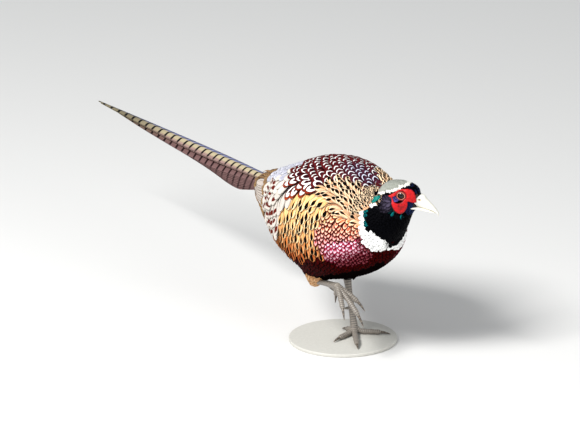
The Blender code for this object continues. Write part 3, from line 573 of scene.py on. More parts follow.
def plumage(name, specular):
    """A feather material: marks from each vane's own attributes, barbs as a fine bump."""
    material, shader = plain(name, (0.5, 0.5, 0.5), 0.5, Specular_IOR_Level=specular)
    tree = shader.id_data
    marks = add_node(tree, "Group", node_tree=VANE_MARKS)
    for key, output in VANE_INPUTS.items():
        join(attribute(tree, key.lower(), output), marks.inputs[key])
    join(vane_place(tree), marks.inputs["Vane"])
    join(marks.outputs["Colour"], shader.inputs["Base Color"])
    join(attribute(tree, "shine"), shader.inputs["Metallic"])
    bump(shader, marks.outputs["Barbs"], 0.25, 0.0002)
    return material


def tinted(name, key, stops, roughness, grain_scale=900.0, bump_strength=0.3, **more):
    """A material whose colour runs through stops of (attribute value, colour), broken up by a fine noise."""
    material, shader = plain(name, linear(*stops[0][1]), roughness, **more)
    tree = shader.id_data
    grain = noise(object_place(tree), grain_scale, 3.0)
    colours = add_node(tree, "ValToRGB", attribute(tree, key) + (grain * 0.16 - 0.08))
    while len(colours.color_ramp.elements) < len(stops):
        colours.color_ramp.elements.new(0.5)
    for element, (at, colour) in zip(colours.color_ramp.elements, stops):
        element.position = at
        element.color = (*linear(*colour), 1)
    join(colours.outputs[0], shader.inputs["Base Color"])
    bump(shader, grain, bump_strength, 0.0002)
    return material


def barred(name, middle, near, far, bar=None, roughness=0.6):
    """A long feather's material: a ground that changes from the bird's right side to its left, with the far colour
    in a strip left of the middle (on the tail a painted bluish sky reflection), and dark bars.

    The bars are where 82 s - 35.7 s^2 is near a half past a whole number, for s = -x - 0.15 + 0.5 |y - axis|.
    """
    middle, near, far = (linear(*colour) for colour in (middle, near, far))
    material, shader = plain(name, middle, roughness, Specular_IOR_Level=0.15)
    tree = shader.id_data
    place, vane, tone = object_place(tree).parts(), vane_place(tree).parts(), attribute(tree, "tone")
    level = place[1] - AXIS_Y
    back = abs(level) * 0.5 - place[0] - 0.15
    strand = strand_noise(vane, tone, 30.0, 6.0)
    # Painted sky reflection: the far colour, bluish on the tail, fills a strip from the middle to about 13 mm left
    # of it; the near colour then takes both outer sides.
    colour = blend(level.step(0.0, 0.004), middle, far)
    colour = blend(abs(level - 0.0015).step(0.0060, 0.0115), colour, near)
    if bar:
        turn = (back * (back * -35.7 + 82.0)).math("FRACT")
        mask = (abs(turn - 0.5) + strand * 0.10).step(0.12, 0.16).less()
        inner = abs(vane[0] * 2.0 - 1.0).step(0.80, 1.0).less()
        colour = blend(mask * (inner * 0.7 + 0.3), colour, linear(*bar))
    dusk = back.step(0.19, 0.34) * -0.62 + 1.0
    join(scaled(colour, (strand * 0.7 + 0.98) * dusk * tone), shader.inputs["Base Color"])
    return material


TRUNK_COAT = plumage("trunk_feather", 0.0)
NECK_COAT = plumage("neck_feather", 0.02)
# The third colour of each is the far one; on the two tail materials it is a painted bluish sky reflection.
TAIL_VANE = barred("tail_feather", (186, 172, 138), (146, 118, 112), (124, 128, 168), (14, 10, 12))
SIDE_VANE = barred("side_tail_feather", (150, 124, 108), (112, 84, 82), (124, 128, 168), (34, 16, 18))
WING_VANE = barred("wing_quill", (186, 174, 164), (186, 174, 164), (186, 174, 164))
COVERT_VANE = barred("tail_covert", (134, 102, 70), (134, 102, 70), (146, 118, 84))
EAR_VANE = barred("ear_feather", (8, 132, 122), (8, 132, 122), (6, 90, 96), roughness=0.35)

# The white collar, by degrees round the neck from the throat with the right side negative: millimetres along
# the neck's axis of its lower and upper edge. Then, by those millimetres, the degrees where the white line up
# the nape starts and ends.
COLLAR_AXIS = unit(np.array((0.763, 0.197, 0.615)))
COLLAR_AT = np.array((0.107, -0.007, 0.1953))
THROAT = np.array((0.55, -0.10, -0.80))
COLLAR_TURN = (-104, -100, -93, -84, -75, -63, -51, -42, -32, -21, -10, 0, 4, 9, 20, 26, 34, 46, 60, 75, 93, 104)
COLLAR_LOW = (-2, -4.2, -7.4, -11.3, -15.1, -19.3, -23.1, -25.1, -24.0, -22.6, -21.3, -19.7, -18, -17.7, -17.3,
              -19, -21, -25, -23, -15.1, -7.4, -2)
COLLAR_TOP = (-1.5, -1.2, -3.3, -6.4, -7.9, -7.3, -7.0, -6.4, -5.7, -5.2, -6.2, -6.4, -14, -15, -12, -6.5, -10,
              -9, -7.3, -7.9, -3.3, -1.5)
NAPE_PLACE = (-4.2, -1.1, 2.5, 7, 12, 18, 24)
NAPE_START = (99, 102, 108, 110, 108, 112, 116)
NAPE_END = (101, 106, 112, 114.5, 112, 115, 118)
NAPE_TURN = 101


def collar_zone(place, draw):
    """Whether a place is in the collar, whether it is past it, its millimetres above it and degrees round."""
    out = place - COLLAR_AT
    throat = unit(THROAT - COLLAR_AXIS * (THROAT @ COLLAR_AXIS))
    turn = np.degrees(np.arctan2(out @ np.cross(COLLAR_AXIS, throat), out @ throat))
    along = out @ COLLAR_AXIS * 1000
    low, top = np.interp(turn, COLLAR_TURN, COLLAR_LOW), np.interp(turn, COLLAR_TURN, COLLAR_TOP) + 0.7 * draw
    start, end = np.interp(along, NAPE_PLACE, NAPE_START), np.interp(along, NAPE_PLACE, NAPE_END)
    about = np.abs(turn)
    behind = about > NAPE_TURN
    line = behind & (about > start) & (about < end) & (along > NAPE_PLACE[0]) & (along < 20)
    ring = ~behind & (along > low) & (along < top)
    white = (ring | line) & (place[:, 0] > 0.098) & (place[:, 2] > 0.14)
    return white, np.where(behind, about >= end, along <= low), along - np.where(behind, -1.5, top), turn


# Kinds of feather: ground, rim, band and mark colours; where the rim starts and the band lies; the tip spot as
# its place along, half width and half length; the metallic shine. A spot at NOWHERE or a NO_BAND doesn't show.
NOWHERE = 3
NO_BAND = (9, 9)
PLAIN_KIND = {"band": (0, 0, 0), "mark": (14, 10, 9), "widths": (0.9, *NO_BAND), "spot": (NOWHERE, 0.2, 0.05),
              "shine": 0.0}
KINDS = {
    "mantle": {"ground": (206, 138, 92), "rim": (252, 222, 184), "widths": (0.86, *NO_BAND),
               "spot": (0.72, 0.66, 0.42)},
    "shoulder": {"ground": (54, 18, 26), "rim": (92, 28, 30), "band": (255, 252, 248),
                 "widths": (0.80, 0.575, 0.715), "spot": (0.48, 0.36, 0.17)},
    "flank": {"ground": (238, 172, 92), "rim": (255, 230, 180), "widths": (0.88, *NO_BAND),
              "spot": (0.76, 0.62, 0.38)},
    # The breast's and the chest's pale bands are painted highlights of their gloss.
    "breast": {"ground": (214, 98, 68), "rim": (84, 22, 24), "band": (255, 196, 166), "mark": (30, 8, 10),
               "widths": (0.86, 0.46, 0.77), "spot": (0.97, 0.40, 0.07), "shine": 0.15},
    "chest": {"ground": (232, 66, 108), "rim": (160, 24, 58), "band": (255, 214, 230), "mark": (70, 4, 20),
              "widths": (0.90, 0.46, 0.80), "shine": 0.1},
    "maroon": {"ground": (70, 4, 4), "rim": (22, 1, 1), "widths": (0.86, *NO_BAND), "shine": 0.2},
    "thigh": {"ground": (168, 112, 68), "rim": (216, 176, 134)},
    "belly": {"ground": (12, 6, 6), "rim": (6, 4, 4)},
    "covert": {"ground": (202, 193, 183), "rim": (222, 214, 204), "mark": (96, 30, 22),
               "widths": (0.92, *NO_BAND), "spot": (0.72, 0.70, 0.15)},
    "rump": {"ground": (168, 168, 182), "rim": (212, 212, 220)},
    "vent": {"ground": (126, 74, 40), "rim": (150, 92, 52)},
    "tuft": {"ground": (126, 96, 66), "rim": (160, 128, 92)},
    "collar": {"ground": (254, 254, 252), "rim": (252, 252, 250), "widths": (0.95, *NO_BAND)},
    "neck": {"ground": (3, 3, 6), "rim": (2, 2, 4)},
    "gloss": {"ground": (10, 106, 108), "rim": (4, 26, 34), "widths": (0.86, *NO_BAND), "shine": 0.4},
    "crown": {"ground": (150, 152, 140), "rim": (166, 168, 160)},
    "brow": {"ground": (238, 236, 228), "rim": (236, 234, 226)},
    # The cheek's lilac-grey is a painted sheen on dark feathers.
    "cheek": {"ground": (84, 76, 96), "rim": (46, 40, 56), "shine": 0.1},
    "violet": {"ground": (104, 98, 170), "rim": (52, 44, 110), "widths": (0.8, *NO_BAND), "shine": 0.3},
    "navy": {"ground": (34, 50, 96), "rim": (10, 18, 40), "widths": (0.8, *NO_BAND), "shine": 0.3},
}
KIND_NAMES = list(KINDS)
COLOURS = ("ground", "band", "rim", "mark")
KIND_TABLES = {key: np.array([{**PLAIN_KIND, **kind}[key] for kind in KINDS.values()], float)
               for key in (*COLOURS, "widths", "spot", "shine")}
KIND_TABLES.update({key: linear(*KIND_TABLES[key]) for key in COLOURS})


def put(kind, name, where):
    """Makes the vanes of a mask feathers of one kind."""
    kind[where] = KIND_NAMES.index(name)


def is_kind(kind, *names):
    return np.isin(kind, [KIND_NAMES.index(name) for name in names])


def trunk_kind(place, up, draw):
    """The kind of feather at a place of the trunk, by x and degrees up the flank, with edges that a draw breaks."""
    x = place[:, 0] * 1000 + 2.5 * draw
    up = up + 1.5 * draw
    kind = np.full(len(x), KIND_NAMES.index("flank"))
    read = np.interp
    top = read(x, (36, 42, 55, 67, 78, 88, 97, 105), (34, 37, 34, 29, 26, 21, 16, 11))
    put(kind, "breast", (x > read(up, (-23, -13, -1, 11, 30), (55, 46, 47, 57, 60))) & (up < top))
    put(kind, "chest", (x > 57) & (up < read(x, (59, 75, 93, 104, 110), (-17, -14, -10, -6, -3))))
    keel = (-40, 9, 30, 46, 62, 74, 89, 104, 114, 118)
    put(kind, "maroon", up < read(x, keel, (-41, -39, -33, -31, -39, -47, -56, -62, -68, -74)))
    put(kind, "belly", up < read(x, (-60, -7, 45, 73, 93, 118), (-58, -60, -56, -62, -78, -88)))
    front = read(up, (27, 34, 47, 58, 68, 76, 84, 90), (26, 31, 35, 38, 52, 92, 120, 130))
    put(kind, "mantle", (x > front) & (up >= top))
    put(kind, "covert", (x < read(up, (-30, 5, 16, 27), (-50, -24, -9, -14))) & (up > -30))
    low = read(x, (-25, -10, 4, 18, 29, 36), (26, 24, 27, 30, 34, 42))
    rear = read(up, (27, 43, 57, 74, 90), (-30, -31, -38, -46, -52))
    put(kind, "shoulder", (x <= front) & (up > low) & (x > rear))
    put(kind, "rump", (x < -48) & (up > 44))
    put(kind, "vent", (x < -46) & (up < -24))
    ahead = (x > 100) & (np.abs(place[:, 1] - AXIS_Y) < 0.018) & (up < 0)
    put(kind, "maroon", ahead)
    put(kind, "belly", ahead & (place[:, 2] < 0.128))
    put(kind, "tuft", x < read(up, (-50, -20, 20, 55, 90), (-118, -108, -104, -113, -123)))
    put(kind, "collar", collar_zone(place, draw)[0])
    return kind


def kind_looks(kind, draw):
    """Colours and mark sizes of each vane from its kind, each a little its own."""
    looks = {key: table[kind] for key, table in KIND_TABLES.items()}
    for key in ("ground", "band", "rim"):
        looks[key] = looks[key] * (1 + 0.10 * draw)[:, None]
    looks["own"] = DRAW.uniform(-0.5, 0.5, len(kind))
    looks["tilt"] = np.zeros(len(kind))
    looks["spot"][:, 1:] *= DRAW.uniform(0.75, 1.25, (len(kind), 2))
    return looks


def trunk_looks(kind, x, up, draw):
    """The kinds' colours, warmed down the flank, pinked round the chest and cooled over the back, with painted
    highlights in the breast's and chest's bands and a painted sky reflection along the back's ridge.
    """
    looks = kind_looks(kind, draw)
    x = x * 1000
    low, dusk, warm = ramp(up, 4, -30), ramp(up, -16, -34), ramp(up, 44, 30)
    rear = ramp(x, -24, -48) * low
    golden, pink = 0.7 * ramp(up, 8, 26), 0.8 * ramp(up, 2, -14)
    deep = np.maximum(ramp(up - 5 * draw, -21, -39), ramp(x + 6 * draw, 97, 109))
    violet = 0.6 * ramp(x + 0.5 * (up - 70), 26, 66)
    # Painted sky reflection along the back's ridge: pale bluish bands and dusky rims on the shoulder feathers
    # there.
    ridge_sky_sheen = ramp(up, 74, 84) * ramp(x, 10, 40)
    for name, key, share, colour in (
        ("flank", "ground", low, (228, 118, 40)), ("flank", "rim", 0.8 * low, (240, 160, 84)),
        ("flank", "ground", dusk, (160, 62, 26)), ("flank", "rim", 0.8 * dusk, (200, 104, 54)),
        ("flank", "ground", rear, (126, 74, 40)), ("flank", "rim", rear, (160, 100, 58)),
        ("flank", "ground", 0.5 * ramp(x, 20, 60), (238, 150, 90)),
        # The breast's bands set here are its painted highlights; the chest's band, its painted glints, dulls as the
        # chest deepens to maroon.
        ("breast", "ground", golden, (244, 176, 108)), ("breast", "band", golden, (250, 208, 144)),
        ("breast", "ground", pink, (200, 74, 78)), ("breast", "band", pink, (240, 168, 178)),
        ("chest", "ground", deep, (72, 6, 12)), ("chest", "band", 0.95 * deep, (116, 22, 34)),
        ("chest", "rim", deep, (40, 3, 6)),
        ("shoulder", "ground", violet, (30, 12, 26)), ("shoulder", "rim", violet, (76, 32, 48)),
        # Painted sky reflection on the ridge's shoulder feathers.
        ("shoulder", "band", ridge_sky_sheen, (222, 224, 242)), ("shoulder", "rim", 0.6 * ridge_sky_sheen, (58, 36, 56)),
        ("shoulder", "rim", 0.8 * warm, (172, 66, 30)),
    ):
        share = (share * is_kind(kind, name))[:, None]
        looks[key] = looks[key] * (1 - share) + share * linear(*colour)
    filled = ramp(up, 50, 38) * is_kind(kind, "shoulder")
    looks["widths"][:, 1] -= 0.30 * filled
    bare = is_kind(kind, "covert") & ((draw > 0.5) | (x > -42))
    looks["spot"][bare | (filled > 0.4), 0] = NOWHERE
    return looks


# Rings of roots, by metres run back from the breast's tip: the step from ring to ring, the spacing round a
# ring, and the kinds of feather that are set in them.
RING_RUN = (0, 0.05, 0.09, 0.12, 0.20, 0.30)
RING_END = -0.172
RINGS = {
    "flank": ((0.0080, 0.0084, 0.0086, 0.0090, 0.0094, 0.0090),
              (0.0090, 0.0096, 0.0100, 0.0106, 0.0110, 0.0100),
              ("flank",)),
    "covert": ((0.0100, 0.0100, 0.0100, 0.0100, 0.0098, 0.0090),
               (0.0130, 0.0130, 0.0130, 0.0130, 0.0124, 0.0104),
               ("covert", "rump")),
    "shoulder": ((0.0072, 0.0074, 0.0076, 0.0078, 0.0078, 0.0070),
                 (0.0090, 0.0096, 0.0100, 0.0100, 0.0100, 0.0088),
                 ("shoulder",)),
    "mantle": ((0.0054, 0.0058, 0.0062, 0.0064, 0.0064, 0.0064),
               (0.0056, 0.0062, 0.0066, 0.0066, 0.0066, 0.0064),
               ("mantle",)),
    "small": ((0.0042, 0.0046, 0.0052, 0.0054, 0.0054, 0.0054),
              (0.0046, 0.0054, 0.0064, 0.0066, 0.0066, 0.0064),
              ("breast", "chest", "maroon", "belly", "thigh", "vent", "tuft", "collar")),
}


def run_along(lines):
    """The length run along each line of places up to each of them."""
    steps = np.linalg.norm(np.diff(lines, axis=-2), axis=-1)
    return np.concatenate((np.zeros((*steps.shape[:-1], 1)), np.cumsum(steps, axis=-1)), axis=-1)


def ring_roots(steps, spacings):
    """Roots in staggered rings over the trunk, a step apart along every meridian and evenly spaced round it."""
    across, rise = (way[:, None] for way in oval(np.radians(np.linspace(-180, 180, 145)), OVAL))
    x = np.linspace(TRUNK_TABLE[-1, 0], RING_END, 400)
    low, high, half = loft_at(TRUNK_TABLE, x)
    lines = stacked(x, AXIS_Y + half * across, (low + high) / 2 + (high - low) / 2 * rise)
    run = run_along(lines)
    start, rows = 0.004, []
    while start < run[:, -1].min():
        rows.append(start)
        start += np.interp(start, RING_RUN, steps)
    roots, sizes, unwraps = [], [], []
    for number, row in enumerate(rows):
        ring = np.stack([[np.interp(row, far, axis) for axis in line.T] for far, line in zip(run, lines)])
        girth = run_along(ring)
        spacing = np.interp(row, RING_RUN, spacings)
        count = max(int(girth[-1] / spacing), 6)
        share = (np.arange(count) + 0.5 * (number % 2) + 0.25) / count
        roots.append(np.stack([np.interp(share * girth[-1], girth, axis) for axis in ring.T], axis=1))
        sizes.append(np.full(count, spacing))
        unwraps.append(0.02 + 0.96 * np.stack((np.full(count, row / 0.35), share), axis=1))
    return np.concatenate(roots), np.concatenate(sizes), np.concatenate(unwraps)


def trunk_coat():
    """The trunk's plumage: large feathers and small ones, each kept where its tip lies among its own kinds."""
    for name, (steps, spacings, kinds) in RINGS.items():
        roots, size, unwrap = ring_roots(steps, spacings)
        share = form(settle(roots)[0])[1]
        keep = (share[:, 0] > 0.15) | (share[:, 3:].sum(1) > 0.3)
        roots, size, unwrap = roots[keep], size[keep], unwrap[keep]
        roots = roots + 0.16 * size[:, None] * DRAW.uniform(-1, 1, roots.shape)
        draw = DRAW.uniform(-1, 1, (len(roots), 6))
        tip, normal = settle(roots)
        turn = lie_angle(tip[:, 0], trunk_angle(tip)[0])
        overlap = 3.4 if name == "mantle" else 2.4
        length = overlap * size * np.hypot(0.82 * np.cos(turn), np.sin(turn)) * (1 + 0.10 * draw[:, 0])
        width = 1.36 * size * np.hypot(0.82 * np.sin(turn), np.cos(turn)) * (1 + 0.10 * draw[:, 1])
        for _ in range(2):
            tip, normal = settle(tip + (length * 0.42)[:, None] * flow(tip, normal, form(tip)[1]), steps=2)
        tip_up = trunk_angle(tip)[0]
        kind = trunk_kind(tip, tip_up, draw[:, 2])
        share = form(tip)[1]
        put(kind, "belly", share[:, 3] > 0.5)
        put(kind, "thigh", (share[:, 4] > 0.6) & (tip[:, 2] < 0.094 + 0.003 * draw[:, 3]))
        keep = is_kind(kind, *kinds) & ((share[:, 1] < 0.75) | is_kind(kind, "collar"))
        roots, unwrap, draw, length, width, tip, tip_up, kind = (
            rows[keep] for rows in (roots, unwrap, draw, length, width, tip, tip_up, kind))
        narrow = is_kind(kind, "thigh", "vent", "tuft")
        lift = np.where(is_kind(kind, "shoulder", "breast", "chest"), 0.0005, 0.00022) * (1 + 0.4 * draw[:, 3])
        length, width = length * np.where(narrow, 1.6, 1), width * np.where(narrow, 0.9, 1)
        sheets = lay_vanes(roots, length, width, 0.0030, lift, 0.13 * draw[:, 4], 0.05 + 0.04 * draw[:, 5])
        looks = trunk_looks(kind, tip[:, 0], tip_up, draw[:, 0])
        looks["tilt"] = 0.25 * np.sign(tip[:, 1] - AXIS_Y) * is_kind(kind, "covert")
        vane_piece(f"trunk_feathers_{name}", *sheets, 0.00022, unwrap, PATCH, VANE_REACH, looks, TRUNK_COAT,
                   "body_plumage")


def neck_kind(place, draw):
    """Collar, mantle, glossy or dark feathers by the place where the tip lies."""
    white, past, above, turn = collar_zone(place, draw)
    kind = np.full(len(place), KIND_NAMES.index("neck"))
    put(kind, "gloss", (above < 3.4 + draw) & (above > -0.5) & (np.abs(turn) > 66) & (np.abs(turn) < 107))
    put(kind, "mantle", past & (np.abs(turn) > 100))
    put(kind, "shoulder", past & ((turn > 128) | (turn < -172)))
    put(kind, "collar", white)
    return kind


def small_coat(name, rows, choose, window, size, long, wide, sink, slot):
    """Rings of small feathers round a path. window keeps those that grow there, choose gives kinds and the factors
    that fade the cheek's painted sheen.
    """
    columns = 4
    roots, unwraps = [], []
    for number, (centre, side, up, reach, spacing) in enumerate(rows):
        count = max(int(2 * np.pi * reach / spacing), 5)
        share = (np.arange(count) + 0.5 * (number % 2)) / count
        turn = share[:, None] * 2 * np.pi
        roots.append(centre + reach * (np.cos(turn) * side + np.sin(turn) * up))
        unwraps.append(0.02 + 0.96 * np.stack((np.full(count, number / len(rows)), share), axis=1))
    roots, unwraps = np.concatenate(roots), np.concatenate(unwraps)
    at, normal = settle(roots + DRAW.uniform(-0.0003, 0.0003, roots.shape))
    share = form(at)[1]
    tip, _ = settle(at + (0.8 * long * size(at))[:, None] * flow(at, normal, share), steps=2)
    keep = window(at, tip, share)
    at, tip, unwraps = at[keep], tip[keep], unwraps[keep]
    draw = DRAW.uniform(-1, 1, (len(at), 6))
    kind, shade = choose(at, tip, draw[:, 2])
    length = long * size(at) * (1 + 0.15 * draw[:, 0])
    width = wide * size(at) * (1 + 0.08 * draw[:, 1])
    sheets = lay_vanes(at, length, width, sink, 0.0004 * (1 + 0.4 * draw[:, 3]), 0.10 * draw[:, 4],
                       0.12 * draw[:, 5], columns, bow=0.016)
    looks = kind_looks(kind, draw[:, 0])
    # The cheek's painted sheen is scaled here by its fade.
    for key in ("ground", "rim"):
        looks[key] = looks[key] * shade[:, None]
    vane_piece(name, *sheets, 0.00015, unwraps, PATCH, VANE_REACH, looks, NECK_COAT, slot)


def cheek_sheen_fade(kind, ahead, up):
    """The cheek's lilac-grey, a painted sheen on dark feathers, fades outward from its middle: exp(-(a/7.5)^2 -
    (u/8.5)^2) in mm from it.
    """
    fade = 0.03 + 0.97 * np.exp(-(((ahead + 12.5) / 7.5) ** 2) - ((up + 11.5) / 8.5) ** 2)
    return np.where(is_kind(kind, "cheek"), fade, 1.0)


def neck_coat():
    """The neck's plumage, in rings square to its path, from the head down to the collar's lower edge."""
    path, last, rows = NECK_TABLE, len(NECK_TABLE) - 1, []
    for number in np.arange(last, 12.0, -0.95):
        low = int(number)
        centre = path[low] + (path[min(low + 1, last)] - path[low]) * (number - low)
        side = unit(np.cross(-NECK_WAY[low], (0.0, 0.0, 1.0)))
        spacing = np.interp(number, (10, 39), (0.0036, 0.0026))
        rows.append((centre[:3], side, np.cross(side, -NECK_WAY[low]), centre[3], spacing))

    def size(at):
        return np.interp(tube_reach(at, NECK_TABLE)[1], (10, 18, 39), (1.0, 0.9, 0.60))

    def window(at, tip, share):
        bare = in_wattle(into_head(at), 0.0004) & (share[:, 2] > 0.05)
        white, past, above, turn = collar_zone(tip, 0.0)
        return (share[:, 1] > 0.22) & (share[:, 2] < 0.6) & ~bare & ~(past & (np.abs(turn) < NAPE_TURN))

    def choose(at, tip, draw):
        kind = neck_kind(tip, draw)
        ahead, left, up = into_head(tip).T * 1000
        put(kind, "neck", (ahead > -20) & is_kind(kind, "mantle", "shoulder"))
        dark = is_kind(kind, "neck")
        put(kind, "cheek", dark & (up < 0.68 * ahead + 5.5) & (up > -24) & (ahead < -5))
        shade = cheek_sheen_fade(kind, ahead, up)
        put(kind, "gloss", dark & (np.abs(up + 22.6) < 1.8 + 0.3 * draw) & (ahead > -8) & (ahead < 14))
        return kind, shade

    small_coat("neck_feathers", rows, choose, window, size, 0.0098, 0.0064, 0.0018, "neck_plumage")


def head_coat():
    """The head's plumage, in rings from the bill back, with the face and the bill's base left bare."""
    rows = []
    left_way, up_way = head_way((0.0, 1, 0)), head_way((0.0, 0, 1))
    for number in np.arange(0.0215, -0.0262, -0.0015):
        low, high, half = loft_at(HEAD_TABLE, number)
        rise = (high - low) / 2
        rows.append((from_head((number, 0, (low + high) / 2)), left_way * half / rise, up_way, rise, 0.0017))

    def size(at):
        return np.ones(len(at))

    def window(at, tip, share):
        ahead, left, up = into_head(at).T
        bare = in_wattle(into_head(at), -0.0004) & (np.abs(left) > 0.004)
        return (share[:, 2] > 0.38) & ~bare & ~((ahead > 0.0192) & (up > -0.0135) & (up < 0.0085))

    def choose(at, tip, draw):
        ahead, left, up = into_head(0.5 * (at + tip)).T * 1000
        kind = np.full(len(at), KIND_NAMES.index("neck"))
        put(kind, "cheek", (up < 0.68 * ahead + 6.5) & (up > -24) & (ahead < -4))
        put(kind, "navy", (ahead > 11) & (up < -3) & (up > -18))
        put(kind, "gloss", (np.abs(up + 22.6) < 1.8) & (ahead > -8) & (ahead < 14))
        turn = np.degrees(np.arctan2(up - 1.8, ahead - 1)) % 360
        reach = np.hypot(ahead - 1, up - 1.8) * 0.001
        slit = (turn > 198) & (turn < 316) & (reach < np.interp(turn, SLIT_TURN, SLIT_REACH) + 0.0012)
        put(kind, "neck", slit)
        put(kind, "violet", slit & (ahead < 0.6))
        put(kind, "navy", (up > 6) & (ahead > 6) & (draw > 0.1))
        line = np.interp(ahead, (-26, -18, -9, -2, 2, 5, 10, 13), (-9, -3, 3.5, 9.6, 12, 14, 15, 19)) + 0.5 * draw
        put(kind, "brow", (up > line) & (ahead < 8))
        put(kind, "crown", (up > line + 3.2) & (ahead < 7))
        return kind, cheek_sheen_fade(kind, ahead, up)

    small_coat("head_feathers", rows, choose, window, size, 0.0048, 0.0026, 0.0009, "head_plumage")


# The bare red face seen from the side, by degrees: its edge, and the far edge of the slit under the eye.
FACE_TURN = (0, 19, 34, 46, 58, 78, 112, 150, 176, 191, 199, 205, 211, 224, 235, 245, 257, 268, 278, 287, 294,
             301, 312, 322, 331, 338, 343, 347, 352, 360)
FACE_REACH = 0.001 * np.array((
    19.3, 17.4, 16.1, 14.6, 12.3, 9.4, 8.0, 8.2, 9.6, 12.7, 16.6, 13.4, 11.8, 12.4, 14.1, 15.6, 17.3, 19.5, 21.4,
    22.6, 22.3, 20.5, 17.1, 14.3, 11.5, 10.4, 13.5, 20.0, 20.8, 19.3))
SLIT_TURN = (196, 205, 215, 236, 254, 269, 293, 308, 316)
SLIT_REACH = 0.001 * np.array((6.2, 10.4, 10.4, 10.3, 10.0, 9.0, 7.6, 6.6, 6.2))


def in_wattle(place, grow=0.0):
    """Whether a place of the head, seen from the side, is inside the bare face and not in its slit."""
    ahead, up = place[..., 0] - EYE[0], place[..., 2] - EYE[2]
    turn, reach = np.degrees(np.arctan2(up, ahead)) % 360, np.hypot(ahead, up)
    past_slit = (reach > np.interp(turn, SLIT_TURN, SLIT_REACH)) | (reach < LID_REACH)
    return (reach < np.interp(turn, FACE_TURN, FACE_REACH) + grow) & past_slit


def beside_head(ahead, up, side, steps=9):
    """How far beside the head's middle the form's surface is, walked along the head's left axis."""
    left = np.full(ahead.shape, 0.014)
    for _ in range(steps):
        places = (from_head(np.stack((ahead, side * (left + more), up), -1)) for more in (0, 2e-4))
        here, beyond = (form(place.reshape(-1, 3))[0].reshape(ahead.shape) for place in places)
        left = left - here / np.clip((beyond - here) / 2e-4, 0.35, 2)
    return left


def head_piece(name, points, faces, side, material, attributes, slot, *nodes):
    """A bare piece, with its faces turned round on the right side, where its corners run the other way."""
    faces = faces if isinstance(faces, list) else [faces]
    if side < 0:
        faces = [group[:, ::-1] for group in faces]
    return placed(mesh_piece(name, points.reshape(-1, 3), faces, material, attributes), slot, *nodes)


def ripples(x, y, count, short, long):
    """A sum of plane waves in drawn ways, of wavelengths from short to long, scaled to about -1 to 1."""
    way, phase = DRAW.uniform(0, 2 * np.pi, (2, count))
    number = 2 * np.pi / DRAW.uniform(short, long, count)
    waves = np.sin(number * (x[..., None] * np.cos(way) + y[..., None] * np.sin(way)) + phase)
    return np.tanh(waves.sum(-1) / math.sqrt(count))


def face_skin(side, name, material):
    """The bare face: a closed cushion from the lid to its edge, rise (1-|2t-1|^6)^0.5, with folds and papillae, and
    shade painted into its red.

    Papillae are 1 - 2|sum of sines of 0.9 to 1.5 mm|. Folds are a sum of sines of 3 to 6 mm with rings of 2.1 mm
    round the lid.
    """
    count, top = 168, 34
    turn = np.linspace(0, 360, count, endpoint=False)
    angle = np.radians(turn)
    inner = np.maximum(np.interp(turn, SLIT_TURN, SLIT_REACH), LID_REACH)
    outer = np.interp(turn, FACE_TURN, FACE_REACH)
    outer = (np.roll(outer, 1) + 2 * outer + np.roll(outer, -1)) / 4
    outer = np.maximum(outer, inner + 0.0008)
    t = 0.5 - 0.5 * np.cos(np.linspace(0, np.pi, top))
    t = np.concatenate((t, t[-2:0:-6]))[:, None]
    reach = inner + (outer - inner) * t
    ahead, up = EYE[0] + reach * np.cos(angle), EYE[2] + reach * np.sin(angle)
    places = from_head(np.stack((ahead, side * beside_head(ahead, up, side), up), axis=-1)).reshape(-1, 3)
    places, normal = settle(places, steps=1)
    body = np.clip(1 - np.abs(2 * t - 1) ** 6, 0, 1) ** 0.5
    rise = np.minimum(0.0014, 0.30 * (outer - inner))
    swirl_x, swirl_y = ahead + 0.0004 * np.sin(up * 2600), up + 0.0004 * np.sin(ahead * 2900)
    papillae = 1 - 2 * np.abs(ripples(swirl_x, swirl_y, 30, 0.0009, 0.0015))
    folds = 0.6 * ripples(swirl_x, swirl_y, 12, 0.003, 0.006)
    rings = np.sin(reach * 2 * np.pi / 0.0021 + 1.4 * np.sin(3 * angle)) * np.exp(-(reach - 0.006) / 0.003)
    folds = folds + 0.4 * rings
    height = -0.0012 + (rise + 0.0012) * body + body**2 * (0.00016 * papillae + 0.00022 * folds)
    height[top:] = -0.0020
    # Painted shade: the red darkens in a dip over the lower lobe's middle, in the valleys of folds and papillae,
    # and toward the cushion's edges.
    lobe_shade = np.exp(-(((ahead - 0.005) / 0.005) ** 2 + ((up + 0.011) / 0.005) ** 2))
    fold_shade = (0.62 + 0.16 * papillae + 0.20 * folds - 0.22 * lobe_shade) * np.clip(body, 0.15, 1)
    places = places + normal * height.reshape(-1, 1)
    head_piece(f"face_skin_{name}", places, net_faces(len(t), count, True), side, material,
               {"fold_shade": fold_shade.ravel()}, "wattle_skin", f"wattle_{name}")


# The lid's section: how far from the eye's middle line, how far out from the ball's middle, and how pale, in mm.
LID_SECTION = (
    (4.05, 4.4, 0.0), (4.2, 5.0, 0.1), (4.45, 5.5, 0.55), (4.75, 5.62, 1.0), (5.0, 5.5, 0.7), (5.3, 5.3, 0.2),
    (5.8, 5.35, 0.35), (6.4, 5.3, 0.45), (6.6, 4.4, 0.4), (6.0, 3.2, 0.2), (4.6, 3.2, 0.0),
)


